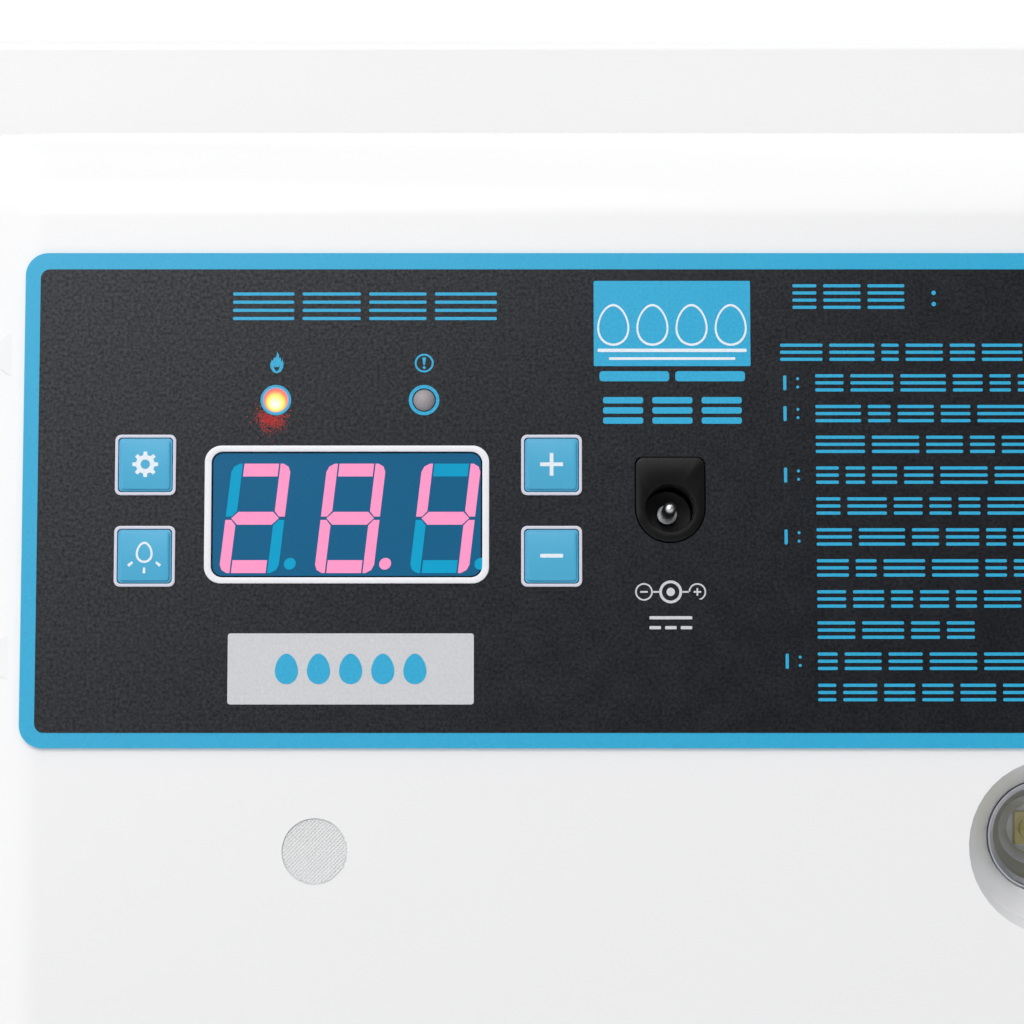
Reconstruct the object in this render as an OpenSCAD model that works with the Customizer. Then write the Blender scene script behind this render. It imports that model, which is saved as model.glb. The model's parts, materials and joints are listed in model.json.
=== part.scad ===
// Tabletop egg incubator: a double-walled tub with a water bed, a hinged lid and a control panel.
// Origin: centre of the footprint on the table. Front faces -Y, +Z is up. Millimetres.

/* [Housing] */
// Width of the housing
body_w = 320; // [316:1:330]
// Depth of the housing with its mains inlet
body_d = 450; // [448:1:460]
// Height of the top deck above the table
deck_z = 142; // [142:1:146]
// Thickness of the moulded walls
wall = 2.5; // [2:0.1:3]
// Radius of the shoulders all round
edge_r = 15; // [14:1:16]
// Angle by which the front face leans back
rake = 6; // [4:0.5:8]
// Half the width of the flat centre of the front face
facet_half = 84.5; // [84:0.5:86]
// Angle by which the side thirds of the front sweep back
sweep = 15; // [12:1:16]
// Height of the rubber feet
foot_h = 5; // [4:0.5:6]

/* [Egg chamber] */
// Inside width of the tub
tub_w = 261; // [255:1:262]
// Inside depth of the tub
tub_d = 332; // [326:1:333]
// Centre of the tub behind the housing's centre
tub_y = 13.5; // [12:0.5:14]
// Thickness of the tub's liner
liner_wall = 1.5; // [1.2:0.1:1.8]
// Underside of the liner's floor
liner_z = 20.3; // [20:0.1:21]
// Thickness of the water bed when filled
bed_h = 19.4; // [18:0.1:20]
// Thickness of the insulating quilt
quilt_h = 15.5; // [12:0.5:16]

/* [Lid] */
// Height of the lid above its lower edge
lid_h = 16.7; // [16:0.1:18]
// Overhang of the lid past the tub's opening, on each side
lid_rim = 11; // [10.5:0.5:12]
// Width of the window opening
window_w = 224; // [200:1:228]
// Depth of the window opening
window_d = 300; // [280:1:304]
// Distance of each hinge from the centre line
hinge_x = 90; // [80:1:100]

/* [Front panel] */
// Width of the printed overlay
panel_w = 174; // [172:1:176]
// Height of the printed overlay
panel_h = 65.5; // [64:0.5:66]
// Height of the overlay's centre
panel_z = 91.7; // [91:0.1:92.5]
// Outside size of each square key's bezel
key_size = 8; // [7.8:0.1:8.2]
// Travel of each key
key_travel = 0.5; // [0.3:0.1:0.5]
// Radius of the candling lamp's dish at the face
dish_r = 11.4; // [11:0.1:12]
// Depth of the candling lamp's dish
dish_depth = 10.5; // [9:0.5:11]
// Radius of the air vent
vent_r = 4.3; // [4:0.1:4.5]

/* [Hidden] */
$fn = 48;
// Overlap of pieces that are joined, how far a cutter runs past what it opens, and how far it reaches out
eps = 0.01;
past = 1;
reach = 3;

// Housing, in plan: corner centres of the front facet, the side facets and the rear
front_y = -body_d / 2;
inlet_proud = 2;
rear_y = body_d / 2 - inlet_proud;
round_z = deck_z - edge_r;
corner_x = body_w / 2 - edge_r;
bottom_y = front_y + edge_r;
top_y = front_y + (round_z - foot_h) * tan(rake) + edge_r / cos(rake);
swept = (corner_x - facet_half) * tan(sweep);
rear_corner_y = rear_y - edge_r;
mould_draft = 0.5;

// Tub and the pieces stacked in it
tub = [tub_w, tub_d];
tub_front_y = tub_y - tub_d / 2;
tub_corner_r = 18;
deck_opening = [5, 5];
liner_floor_z = liner_z + liner_wall;
film_t = 0.5;
bed_z = liner_floor_z + film_t + 0.3;
quilt_z = bed_z + bed_h + 0.5;
flange_w = 6;
flange_t = 1.5;
flange_z = deck_z;
gasket_t = 1.6;
base_t = 2.5;
base_z = foot_h;
foam_z = base_z + base_t + 0.5;
foam_top_z = deck_z - wall - 1;
foam_gap = 0.5;
foam_front_y = -163;
bed_gap = 1;
quilt_gap = 2;
quilt_hole_r = 15;
cap_spot = [-108, tub_front_y + 22];
cap_r = 9.5;
cap_h = 8;
neck_r = 7;
neck_bore_r = 5;
neck_h = 7;
leads_x = 72;
leads_y = tub_front_y + 14;
cutout_y = 40;
cutout_r = 6;
cutout_h = 5;
probe_x = -44.3;
probe_y = tub_front_y + 5;
probe_z = 64;
probe_hole_z = 112;
probe_lead_r = 1.3;
grommet_r = 3.5;
harness_x = 150;

// Front panel and what is behind it; depths are measured inwards from the face
overlay_t = 0.5;
overlay_r = 3;
key_hole = key_size - 0.6;
cap_size = key_size - 1;
cap_proud = 1.2;
key_columns = [-70.8, -17.4];
key_rows = [96.1, 84.1];
key_flange = 9.2;
key_flange_t = 1;
key_slack = 0.4;
key_stem_end = -9;
bezel_w = 0.4;
bezel_h = 0.5;
display_x = -44.3;
display_z = 89.6;
display_frame_size = [37.4, 18.2];
display_pane_size = [35.2, 16.2];
display_body = [37.6, 19];
display_corner_r = 1.5;
pane_fit = [0.4, 0.4];
display_depth = 11.2;
led_z = 104.7;
heat_x = -53.75;
alarm_x = -34.2;
led_r = 1.5;
led_fit = 0.1;
jack_x = -1.8;
jack_z = 90.5;
jack_w = 9;
jack_top = 6.6;
jack_corner_r = 1.1;
jack_fit = 0.25;
jack_bore_r = 3.2;
jack_bore_depth = 9.5;
jack_pin_r = 0.9;
jack_proud = 0.8;
board_depth = 14.4;
board_t = 1.6;
board_size = [112, 50];
board_x = -36;
board_z = 91;
board_screw_r = 1;
post_r = 3;
post_inset = 0.6;
buzzer_spot = [-72, 107];
post_spots = [[-88, 71], [-88, 111], [16, 71], [16, 111]];
lamp_z = 46.8;
vent_x = -48.3;
vent_z = 45.8;
lamp_x = 48.3;
lamp_r = 7.6;
lamp_bore_r = 8.2;
dish_lip = 4;
dish_flare = (dish_r - lamp_r) * dish_lip / dish_depth;
collar_r = 13.5;
collar_depth = dish_depth + 12;
collar_inset = 1.9;
seat_t = 1.5;
lamp_board_depth = 10;
lamp_board_t = 1.4;
vent_seat = 0.8;
vent_ledge = 0.6;

// Hinges and lid
lid_gap = 0.6;
lid_z = deck_z + lid_gap;
lid_wall = 2.5;
lid_outer_w = tub_w + 2 * (lid_rim + lid_wall);
lid_outer_d = tub_d + 2 * (lid_rim + lid_wall) + 4;
lid_corner_r = 22;
lid_top_z = lid_z + lid_h;
lid_edge_r = 1.8;
pane_t = 3;
pane_lap = 9;
seal_t = 0.8;
seal_z = lid_top_z - lid_wall - seal_t;
pane_z = seal_z - pane_t;
clamp_t = 2.5;
clamp_z = pane_z - clamp_t;
clamp_w = 17;
hinge_y = 201;
hinge_z = deck_z + 6.5;
pin_r = 1.5;
pin_fit = 0.08;
knuckle_r = 4;
knuckle_half = 5.6;
lug_in = 6;
lug_t = 3;
bracket_size = [32, 11.4];
bracket_t = 2;
bracket_screw_x = 13;
bracket_screw_r = 1.3;
window_r = 12;
clamp_screw_r = 1.25;

// Rear sockets
rear_z = 38;
inlet_x = 118;
switch_x = 80;
rocker_tilt = 10;
rocker_depth = 3;
axle_r = 0.75;
inlet_depth = 16;
inlet_bore = 12;
switch_body = [13.3, 19.3];
switch_well = [10.4, 17];
switch_depth = 12;
socket_fit = 0.3;

// Places of the fasteners: housing bosses in plan, then the window clamp's screws
rear_boss = corner_x + 6.6;
boss_spots = [[-rear_boss, rear_corner_y + 6.6], [rear_boss, rear_corner_y + 6.6],
    [-154.5, -176], [154.5, -176], [-62, -216.5], [62, -216.5]];
boss_r = 4;
boss_h = 26;
screw_r = 1.5;
screw_len = 13;
screw_fit = 0.05;
foot_stem_r = 3;
foot_spots = [[-130, 185], [130, 185], [-130, -170], [130, -170]];
foot_r = 10;
supply_spots = [[26, -201], [104, -201], [26, -171], [104, -171]];
supply_z = 12;
slots_x = -60;
slots_y = -185;
slot_size = [3, 24];
slot_pitch = 6;
slot_count = 5;

function face_y(z) = front_y + (z - foot_h) * tan(rake);

// A frame on the front face at height z: X to the right, Y up the face, Z outwards
module on_face(x, z) translate([x, face_y(z), z]) rotate([90 - rake, 0, 0]) children();

// A level frame on the candling lamp's axis, at the front face or at the seat that the lamp rests on
module on_lamp() translate([lamp_x, face_y(lamp_z), lamp_z]) rotate([90, 0, 0]) children();

module on_lamp_seat() on_lamp() translate([0, 0, -dish_depth]) children();

// A frame on the rear wall: X to the right as seen from behind, Y up, Z outwards
module on_rear(x, z) translate([x, rear_y, z]) rotate([90, 0, 180]) children();

module rounded_area(size, r) {
    square([size.x - 2 * r, size.y], center = true);
    square([size.x, size.y - 2 * r], center = true);
    for (sx = [-1, 1], sy = [-1, 1])
        translate([sx * (size.x / 2 - r), sy * (size.y / 2 - r)])
            circle(r);
}

module rounded_plate(size, r, z0, z1)
    translate([0, 0, z0]) linear_extrude(z1 - z0) rounded_area(size, r);

module rounded_ring(outer, r_outer, inner, r_inner, z0, z1)
    difference() {
        rounded_plate(outer, r_outer, z0, z1);
        rounded_plate(inner, r_inner, z0 - 1, z1 + 1);
    }

// Plan corners of the housing, with each corner's set-back at the shoulder
plan = [[facet_half, bottom_y, top_y], [corner_x, bottom_y + swept, top_y + swept],
    [corner_x, rear_corner_y, rear_corner_y]];

module housing_form(r, z0, facets)
    hull()
        for (side = [-1, 1], p = plan) {
            translate([side * p[0], p[1], z0]) cylinder(r = r, h = eps, $fn = facets);
            translate([side * p[0], p[2], round_z]) sphere(r, $fn = facets);
        }

module jack_outline(w, top)
    hull() {
        circle(w / 2);
        for (side = [-1, 1])
            translate([side * (w / 2 - jack_corner_r), top - jack_corner_r]) circle(jack_corner_r);
    }

module face_holes() {
    depth = wall + past;
    for (x = key_columns, z = key_rows)
        on_face(x, z) translate([0, 0, -depth]) linear_extrude(depth + reach) square(key_hole, center = true);
    on_face(display_x, display_z) rounded_plate(display_pane_size + pane_fit, display_corner_r, -depth, reach);
    for (x = [heat_x, alarm_x])
        on_face(x, led_z) translate([0, 0, -depth]) cylinder(r = led_r + led_fit, h = depth + reach);
    on_face(jack_x, jack_z) translate([0, 0, -depth])
        linear_extrude(depth + reach) jack_outline(jack_w + 2 * jack_fit, jack_top + jack_fit);
}

module outer_shell() {
    color("white") difference() {
        union() {
            difference() {
                housing_form(edge_r, foot_h, 64);
                housing_form(edge_r - wall, foot_h - past, 32);
            }
            on_lamp() translate([0, 0, -collar_depth]) cylinder(r = collar_r, h = collar_depth - collar_inset);
            for (p = boss_spots)
                translate([p.x, p.y, base_z + base_t]) cylinder(r = boss_r, h = boss_h);
            for (p = post_spots)
                on_face(p.x, p.y) translate([0, 0, -board_depth]) cylinder(r = post_r, h = board_depth - post_inset);
        }
        translate([0, tub_y, 0]) rounded_plate(tub + deck_opening, tub_corner_r + deck_opening.x / 2,
            round_z, deck_z + past);
        face_holes();
        on_lamp_seat() {
            cylinder(r1 = lamp_r, r2 = dish_r + dish_flare, h = dish_depth + dish_lip);
            translate([0, 0, -seat_t]) cylinder(r = lamp_r, h = seat_t + 0.5);
            translate([0, 0, dish_depth - collar_depth - past])
                cylinder(r = lamp_bore_r, h = collar_depth - dish_depth - seat_t + past + 0.5);
        }
        on_face(vent_x, vent_z) {
            translate([0, 0, -vent_seat]) cylinder(r = vent_r, h = vent_seat + reach);
            translate([0, 0, -wall - past]) cylinder(r = vent_r - vent_ledge, h = wall + past);
        }
        for (p = boss_spots)
            translate([p.x, p.y, base_z]) cylinder(r = screw_r + screw_fit, h = screw_len + 1);
        for (p = post_spots)
            on_face(p.x, p.y) translate([0, 0, -board_depth - past]) cylinder(r = board_screw_r + screw_fit, h = 9);
        on_rear(inlet_x, rear_z) translate([0, 0, -wall - past])
            linear_extrude(wall + 2 * past) inlet_outline(socket_fit);
        on_rear(switch_x, rear_z) translate([0, 0, -wall - past])
            linear_extrude(wall + 2 * past) square(switch_body + [0.4, 0.4], center = true);
        for (side = [-1, 1], dx = [-1, 1])
            translate([side * hinge_x + dx * bracket_screw_x, hinge_y, deck_z - wall - 5])
                cylinder(r = bracket_screw_r, h = 20);
    }
}

module base_plate() {
    color("whitesmoke") difference() {
        union() {
            translate([0, 0, base_z]) linear_extrude(base_t) hull()
                for (side = [-1, 1], p = plan)
                    translate([side * p[0], p[1]]) circle(edge_r - wall - mould_draft, $fn = 32);
            for (p = supply_spots)
                translate([p.x, p.y, base_z + base_t - eps])
                    cylinder(r = post_r, h = supply_z - base_z - base_t + eps);
        }
        for (p = boss_spots)
            translate([p.x, p.y, base_z - past]) cylinder(r = screw_r + 2 * screw_fit, h = base_t + 2 * past);
        for (p = foot_spots)
            translate([p.x, p.y, base_z - past]) cylinder(r = foot_stem_r + 2 * screw_fit, h = base_t + 2 * past);
        for (i = [-slot_count:slot_count])
            translate([slots_x + i * slot_pitch, slots_y, base_z - past])
                linear_extrude(base_t + 2 * past) square(slot_size, center = true);
    }
}

module base_screws() {
    head_r = 3;
    head_h = 1.8;
    cross = [3, 0.6];
    color("silver") for (p = boss_spots)
        translate([p.x, p.y, 0]) {
            difference() {
                translate([0, 0, base_z - head_h]) cylinder(r1 = 0.8 * head_r, r2 = head_r, h = head_h);
                for (turn = [0, 90])
                    rotate(turn) translate([0, 0, base_z - head_h - past])
                        linear_extrude(head_h) square(cross, center = true);
            }
            translate([0, 0, base_z - eps]) cylinder(r = screw_r, h = screw_len);
        }
}

module rubber_feet() {
    hollow_r = 4;
    hollow_h = 1.5;
    color("dimgray") for (p = foot_spots)
        translate([p.x, p.y, 0]) {
            difference() {
                cylinder(r1 = foot_r - 1, r2 = foot_r, h = base_z);
                translate([0, 0, -past]) cylinder(r = hollow_r, h = hollow_h + past);
            }
            translate([0, 0, base_z - eps]) cylinder(r = foot_stem_r, h = base_t + 0.4);
        }
}

// The block is stepped in under the shoulders, and cut away for whatever runs behind or under the tub
module foam_tub() {
    lower_w = body_w - 2 * wall - 3;
    upper_w = 2 * (corner_x - 2);
    front = foam_front_y;
    back = rear_y - wall - 1;
    depth = back - front;
    middle = (front + back) / 2;
    step = 4;
    step_z = round_z - 1;
    hollow = tub + [1, 1] * 2 * (liner_wall + foam_gap);
    socket_bay = [80, 40, 54];
    harness_groove = [20, 13];
    leads_groove = [24, 50, 10];
    color("white") difference() {
        union() {
            translate([0, middle, 0]) rounded_plate([lower_w, depth], 30, foam_z, step_z);
            translate([0, middle - step, 0])
                rounded_plate([upper_w, depth - 2 * step], 20, step_z - eps, foam_top_z);
        }
        translate([0, tub_y, 0])
            rounded_plate(hollow, tub_corner_r + liner_wall, liner_z - 0.2, deck_z);
        translate([switch_x - 20, back - 27.5, foam_z - past]) cube(socket_bay);
        translate([harness_x - harness_groove.x / 2 + 3, front - past, foam_z - past])
            cube([harness_groove.x, depth + 2 * past, harness_groove.y]);
        translate([leads_x - leads_groove.x / 2, tub_front_y - 30, liner_z - 8]) cube(leads_groove);
        translate([0, cutout_y, liner_z - 7]) cylinder(r = cutout_r + 3, h = 10);
        translate([probe_x, tub_front_y + past, probe_hole_z]) rotate([90, 0, 0])
            cylinder(r = grommet_r + 0.1, h = 30);
        translate([harness_x - 13, back - 39.5, foam_z - past]) cube([harness_groove.x, 30, harness_groove.y]);
    }
}

module liner_tub() {
    outer = tub + [1, 1] * 2 * liner_wall;
    outer_r = tub_corner_r + liner_wall;
    color("snow") difference() {
        translate([0, tub_y, 0]) difference() {
            union() {
                rounded_plate(outer, outer_r, liner_z, flange_z + flange_t);
                rounded_plate(outer + [1, 1] * 2 * flange_w, outer_r + flange_w, flange_z, flange_z + flange_t);
            }
            rounded_plate(tub, tub_corner_r, liner_floor_z, flange_z + flange_t + past);
        }
        translate([probe_x, tub_front_y + 5, probe_hole_z]) rotate([90, 0, 0]) cylinder(r = grommet_r + 0.1, h = 12);
        translate([leads_x, leads_y, liner_z - past]) cylinder(r = 3, h = liner_wall + 2 * past);
    }
}

module heating_film() {
    border = 10;
    color("orange") difference() {
        translate([0, tub_y, 0])
            rounded_plate(tub - [1, 1] * 2 * border, 8, liner_floor_z, liner_floor_z + film_t);
        translate([leads_x, leads_y, liner_floor_z - past]) cylinder(r = 3.4, h = film_t + 2 * past);
    }
}

module thermal_cutout() {
    tab = [16, 6, 0.8];
    color("beige") translate([0, cutout_y, liner_z]) {
        translate([0, 0, -cutout_h]) cylinder(r = cutout_r, h = cutout_h);
        translate([-tab.x / 2, -tab.y / 2, 0.6 - cutout_h]) cube(tab);
    }
}

module water_bed() {
    color("skyblue") translate([0, tub_y, 0])
        rounded_plate(tub - [1, 1] * 2 * bed_gap, tub_corner_r - bed_gap, bed_z, bed_z + bed_h);
}

module filler_neck() {
    collar = 13;
    collar_t = 1.2;
    color("white") translate([cap_spot.x, cap_spot.y, bed_z + bed_h]) rotate_extrude()
        polygon([[neck_bore_r, 0], [collar, 0], [collar, collar_t], [neck_r, collar_t], [neck_r, neck_h],
            [neck_bore_r, neck_h]]);
}

module filler_cap() {
    ribs = 24;
    rib_r = 0.5;
    color("royalblue") translate([cap_spot.x, cap_spot.y, bed_z + bed_h + 2]) difference() {
        union() {
            cylinder(r = cap_r, h = cap_h);
            for (i = [1:ribs])
                rotate(i * 360 / ribs) translate([cap_r, 0, 0]) cylinder(r = rib_r, h = cap_h - 1, $fn = 16);
        }
        translate([0, 0, -past]) cylinder(r = neck_r + 0.35, h = neck_h);
    }
}

module insulating_quilt() {
    color("lavender") difference() {
        translate([0, tub_y, 0])
            rounded_plate(tub - [1, 1] * 2 * quilt_gap, tub_corner_r - quilt_gap, quilt_z, quilt_z + quilt_h);
        translate([cap_spot.x, cap_spot.y, quilt_z - past]) cylinder(r = quilt_hole_r, h = quilt_h + 2 * past);
    }
}

module rim_gasket() {
    seat = flange_z + flange_t;
    inner = 2.5;
    outer = inner + 3;
    color("gray") translate([0, tub_y, 0])
        rounded_ring(tub + [1, 1] * 2 * outer, tub_corner_r + outer, tub + [1, 1] * 2 * inner, tub_corner_r + inner,
            seat, seat + gasket_t);
}

// A round wire along a list of points; each ring lies across the mean of its two neighbours' directions
function unit(v) = v / norm(v);
function heading(path, i) =
    unit(path[min(i + 1, len(path) - 1)] - path[max(i - 1, 0)]);
function ring_at(path, i, r, sides) =
    let (d = heading(path, i))
    let (u = unit(cross(d, abs(d.z) < 0.9 ? [0, 0, 1] : [1, 0, 0])))
    let (v = cross(d, u))
    [for (k = [0:sides - 1]) path[i] + r * (u * cos(360 * k / sides) + v * sin(360 * k / sides))];

// Points of a Catmull-Rom curve through the route, with a few steps to each leg
function curve(route, steps) =
    let (n = len(route) - 1)
    [for (i = [0:n - 1], s = [0:steps - 1])
        let (t = s / steps, a = route[max(i - 1, 0)], b = route[i], c = route[i + 1], d = route[min(i + 2, n)])
        (2 * b + t * (c - a) + t * t * (2 * a - 5 * b + 4 * c - d) + t * t * t * (3 * b - 3 * c + d - a)) / 2,
        route[n]];

module wire(route, r, steps = 4, sides = 8) {
    path = curve(route, steps);
    n = len(path);
    points = [for (i = [0:n - 1]) each ring_at(path, i, r, sides)];
    faces = [for (i = [0:n - 2], k = [0:sides - 1], half = [0, 1])
        let (a = i * sides + k, b = i * sides + (k + 1) % sides)
        half == 0 ? [a, b, b + sides] : [a, b + sides, a + sides]];
    ends = [[for (k = [0:sides - 1]) sides - 1 - k], [for (k = [0:sides - 1]) (n - 1) * sides + k]];
    polyhedron(points, concat(faces, ends));
}

module temperature_probe() {
    sleeve_r = 2.5;
    sleeve_h = 32;
    color("silver") translate([probe_x, probe_y, probe_z]) {
        cylinder(r = sleeve_r, h = sleeve_h);
        sphere(sleeve_r);
        translate([0, 0, sleeve_h]) cylinder(r1 = sleeve_r, r2 = 1.6, h = 4);
    }
}

module probe_grommet() {
    head_t = 1.2;
    color("dimgray") translate([probe_x, tub_front_y, probe_hole_z]) rotate([90, 0, 0]) difference() {
        union() {
            translate([0, 0, -head_t]) cylinder(r = grommet_r + 2, h = head_t);
            translate([0, 0, -eps]) cylinder(r = grommet_r, h = 8);
        }
        translate([0, 0, -head_t - past]) cylinder(r = probe_lead_r + 0.2, h = 12);
    }
}

module probe_lead() {
    color("black") wire([[probe_x, probe_y, 100.2], [probe_x, probe_y + 0.2, 105], [probe_x, probe_y - 1, 110],
        [probe_x, tub_front_y + 1, probe_hole_z], [probe_x, -165, probe_hole_z], [probe_x, -180, 111],
        [probe_x + 2, -188, 108], [probe_x + 3, -193.5, 104]], probe_lead_r);
}

module front_overlay() {
    color("#2b2d31") difference() {
        on_face(0, panel_z) rounded_plate([panel_w, panel_h], overlay_r, 0, overlay_t);
        face_holes();
    }
}

module key_bezels() {
    inner = key_size - 2 * bezel_w;
    color("#d7d7e4") for (x = key_columns, z = key_rows)
        on_face(x, z)
            rounded_ring([key_size, key_size], 0.8, [inner, inner], 0.5, overlay_t, overlay_t + bezel_h);
}

// Each cap has a stepped edge above the face, a flange that holds it in, and a stem down to its switch
module key_at(x, z) {
    step = 0.3;
    under = -wall - key_slack;
    color("#54b4dc") on_face(x, z) {
        rounded_plate([cap_size, cap_size], 0.5, under, cap_proud - step);
        rounded_plate([cap_size, cap_size] - 2 * [step, step], 0.4, cap_proud - step - eps, cap_proud);
        rounded_plate([key_flange, key_flange], 0.6, under - key_flange_t, under);
        translate([0, 0, key_stem_end]) cylinder(r = 1.6, h = under - key_flange_t - key_stem_end + eps);
    }
}

module key_set() key_at(key_columns[0], key_rows[0]);

module key_candle() key_at(key_columns[0], key_rows[1]);

module key_plus() key_at(key_columns[1], key_rows[0]);

module key_minus() key_at(key_columns[1], key_rows[1]);

module display_module() {
    color("#20242a") on_face(display_x, display_z) translate([0, 0, -board_depth])
        linear_extrude(display_depth) square(display_body, center = true);
}

module display_window() {
    color("#2d5f95") on_face(display_x, display_z)
        rounded_plate(display_pane_size, display_corner_r - 0.2, -1.2, overlay_t + 0.2);
}

module display_frame() {
    color("white") on_face(display_x, display_z)
        rounded_ring(display_frame_size, display_corner_r + 0.7, display_pane_size + pane_fit, display_corner_r,
            overlay_t, overlay_t + bezel_h);
}

module led(x) {
    body_h = 5;
    leg_r = 0.25;
    leg_x = 0.9;
    on_face(x, led_z) {
        sphere(led_r);
        translate([0, 0, -body_h]) cylinder(r = led_r, h = body_h);
        translate([0, 0, -body_h - 1]) cylinder(r = led_r + 0.4, h = 1);
        for (side = [-1, 1])
            translate([side * leg_x, 0, -board_depth])
                cylinder(r = leg_r, h = board_depth - body_h - 1 + eps);
    }
}

module heat_led() color("orange") led(heat_x);

module alarm_led() color("gray") led(alarm_x);

module main_board() {
    color("darkgreen") difference() {
        on_face(board_x, board_z) translate([0, 0, -board_depth - board_t])
            linear_extrude(board_t) square(board_size, center = true);
        for (p = post_spots)
            on_face(p.x, p.y) translate([0, 0, -board_depth - board_t - past])
                cylinder(r = board_screw_r + 0.2, h = board_t + 2 * past);
    }
}

module board_screws() {
    head_h = 1.2;
    color("silver") for (p = post_spots)
        on_face(p.x, p.y) translate([0, 0, -board_depth - board_t]) {
            translate([0, 0, -head_h]) cylinder(r = 2.2, h = head_h);
            translate([0, 0, -eps]) cylinder(r = board_screw_r, h = 8);
        }
}

module tact_switches() {
    body = [6, 6, 3.5];
    button_r = 1.7;
    button_top = key_stem_end - key_travel - 0.2;
    color("black") for (x = key_columns, z = key_rows)
        on_face(x, z) {
            translate([-body.x / 2, -body.y / 2, -board_depth]) cube(body);
            translate([0, 0, body.z - board_depth - eps])
                cylinder(r = button_r, h = button_top + board_depth - body.z);
        }
}

module alarm_buzzer() {
    buzzer_h = 9;
    port_depth = 4;
    color("black") on_face(buzzer_spot.x, buzzer_spot.y) translate([0, 0, -board_depth]) difference() {
        cylinder(r = 6, h = buzzer_h);
        translate([0, 0, buzzer_h - port_depth]) cylinder(r = 1.2, h = port_depth + past);
    }
}

module dc_jack() {
    flare = 0.15;
    color("#151515") on_face(jack_x, jack_z) difference() {
        translate([0, 0, -board_depth]) linear_extrude(board_depth + jack_proud) jack_outline(jack_w, jack_top);
        translate([0, 0, -jack_bore_depth]) cylinder(r = jack_bore_r, h = jack_bore_depth + jack_proud + past);
        translate([0, 0, jack_proud - flare]) cylinder(r1 = jack_bore_r, r2 = jack_bore_r + 2 * flare, h = 2 * flare);
    }
}

module dc_jack_pin() {
    tip = -1;
    collar_h = 1.5;
    color("silver") on_face(jack_x, jack_z) {
        translate([0, 0, -jack_bore_depth]) cylinder(r = jack_pin_r, h = jack_bore_depth + tip);
        translate([0, 0, tip]) sphere(jack_pin_r);
        translate([0, 0, -jack_bore_depth]) cylinder(r = jack_pin_r + 0.4, h = collar_h);
    }
}

// A bowl round the light source, flanged where it sits against the dish
module candler_reflector() {
    bowl = [[2.6, -9.8], [4.6, -9.8], [7, -4]];
    flange = [[8, -3], [8, -1.6], [7.4, -1.6], [7.4, -0.05], [7.15, -0.05]];
    mirror_side = [[7.1, -3.1], [6.2, -3.1], [5.3, -5.4], [3.9, -7.8], [2.6, -9]];
    color("silver") on_lamp_seat() rotate_extrude() polygon(concat(bowl, flange, mirror_side));
}

module candler_lens() {
    rim_r = 7;
    rim_t = 1;
    dome_r = 17.2;
    dome_base = sqrt(dome_r * dome_r - rim_r * rim_r);
    color("lightcyan") on_lamp_seat() translate([0, 0, -2 * rim_t]) {
        translate([0, 0, -rim_t]) cylinder(r = rim_r, h = rim_t);
        intersection() {
            translate([0, 0, -dome_base]) sphere(dome_r);
            translate([0, 0, -eps]) cylinder(r = rim_r, h = 3);
        }
    }
}

module candler_led() {
    chip = [3.4, 3.4, 1];
    color("gold") on_lamp_seat() translate([0, 0, -lamp_board_depth]) {
        translate([-chip.x / 2, -chip.y / 2, 0]) cube(chip);
        translate([0, 0, chip.z - eps]) cylinder(r = 1.3, h = 0.5);
    }
}

module candler_board() {
    color("white") on_lamp_seat() translate([0, 0, -lamp_board_depth - lamp_board_t])
        cylinder(r = 7.9, h = lamp_board_t);
}

module candler_holder() {
    cover_t = 2.2;
    plug_t = 0.6;
    color("whitesmoke") on_lamp_seat() translate([0, 0, -lamp_board_depth - lamp_board_t - plug_t - cover_t])
        difference() {
            union() {
                cylinder(r = collar_r, h = cover_t);
                translate([0, 0, cover_t - eps]) cylinder(r = lamp_bore_r - 0.4, h = plug_t);
            }
            translate([0, 0, -past]) cylinder(r = 3, h = cover_t + plug_t + 2 * past);
        }
}

module vent_mesh() {
    hole = 0.7;
    pitch = 1.15;
    mesh_t = 0.4;
    color("gainsboro") on_face(vent_x, vent_z) translate([0, 0, -vent_seat + 0.1]) difference() {
        cylinder(r = vent_r - 0.05, h = mesh_t);
        rotate(45) for (i = [-3:3], j = [-3:3])
            if (norm([i, j]) * pitch < vent_r - 0.8)
                translate([i * pitch, j * pitch, -past]) linear_extrude(mesh_t + 2 * past) square(hole, center = true);
    }
}

module power_board() {
    margin = 6;
    low = supply_spots[0] - [margin, 5];
    size = supply_spots[3] - supply_spots[0] + 2 * [margin, 5];
    color("darkgreen") difference() {
        translate([low.x, low.y, supply_z]) cube([size.x, size.y, board_t]);
        for (p = supply_spots)
            translate([p.x, p.y, supply_z - past]) cylinder(r = 1.2, h = board_t + 2 * past);
    }
}

module power_transformer() {
    flange = [20, 18, 3];
    core = [16, 14, 10.5];
    color("goldenrod") translate([58, -196, supply_z + board_t]) {
        cube(flange + [0, 0, 1]);
        translate([2, 2, flange.z]) cube(core);
        translate([0, 0, core.z + flange.z]) cube(flange);
    }
}

module filter_capacitor() {
    can_r = 5;
    can_h = 18;
    color("midnightblue") translate([38, -187, supply_z + board_t]) {
        cylinder(r = can_r, h = can_h);
        translate([0, 0, can_h - eps]) cylinder(r = can_r - 0.6, h = 0.6);
    }
}

// Plan of a figure-of-eight appliance inlet, grown by a margin
module inlet_outline(margin) {
    for (side = [-1, 1])
        translate([side * 3.6, 0]) circle(4.4 + margin);
    square([7.2, 8.8 + 2 * margin], center = true);
}

module mains_inlet() {
    flange = [24, 16];
    color("#1c1c1c") on_rear(inlet_x, rear_z) difference() {
        union() {
            rounded_plate(flange, 3, 0, inlet_proud);
            translate([0, 0, -inlet_depth]) linear_extrude(inlet_depth + eps) inlet_outline(0);
        }
        translate([0, 0, -inlet_bore]) linear_extrude(inlet_bore + 2 * inlet_proud) inlet_outline(-1);
    }
}

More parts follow.
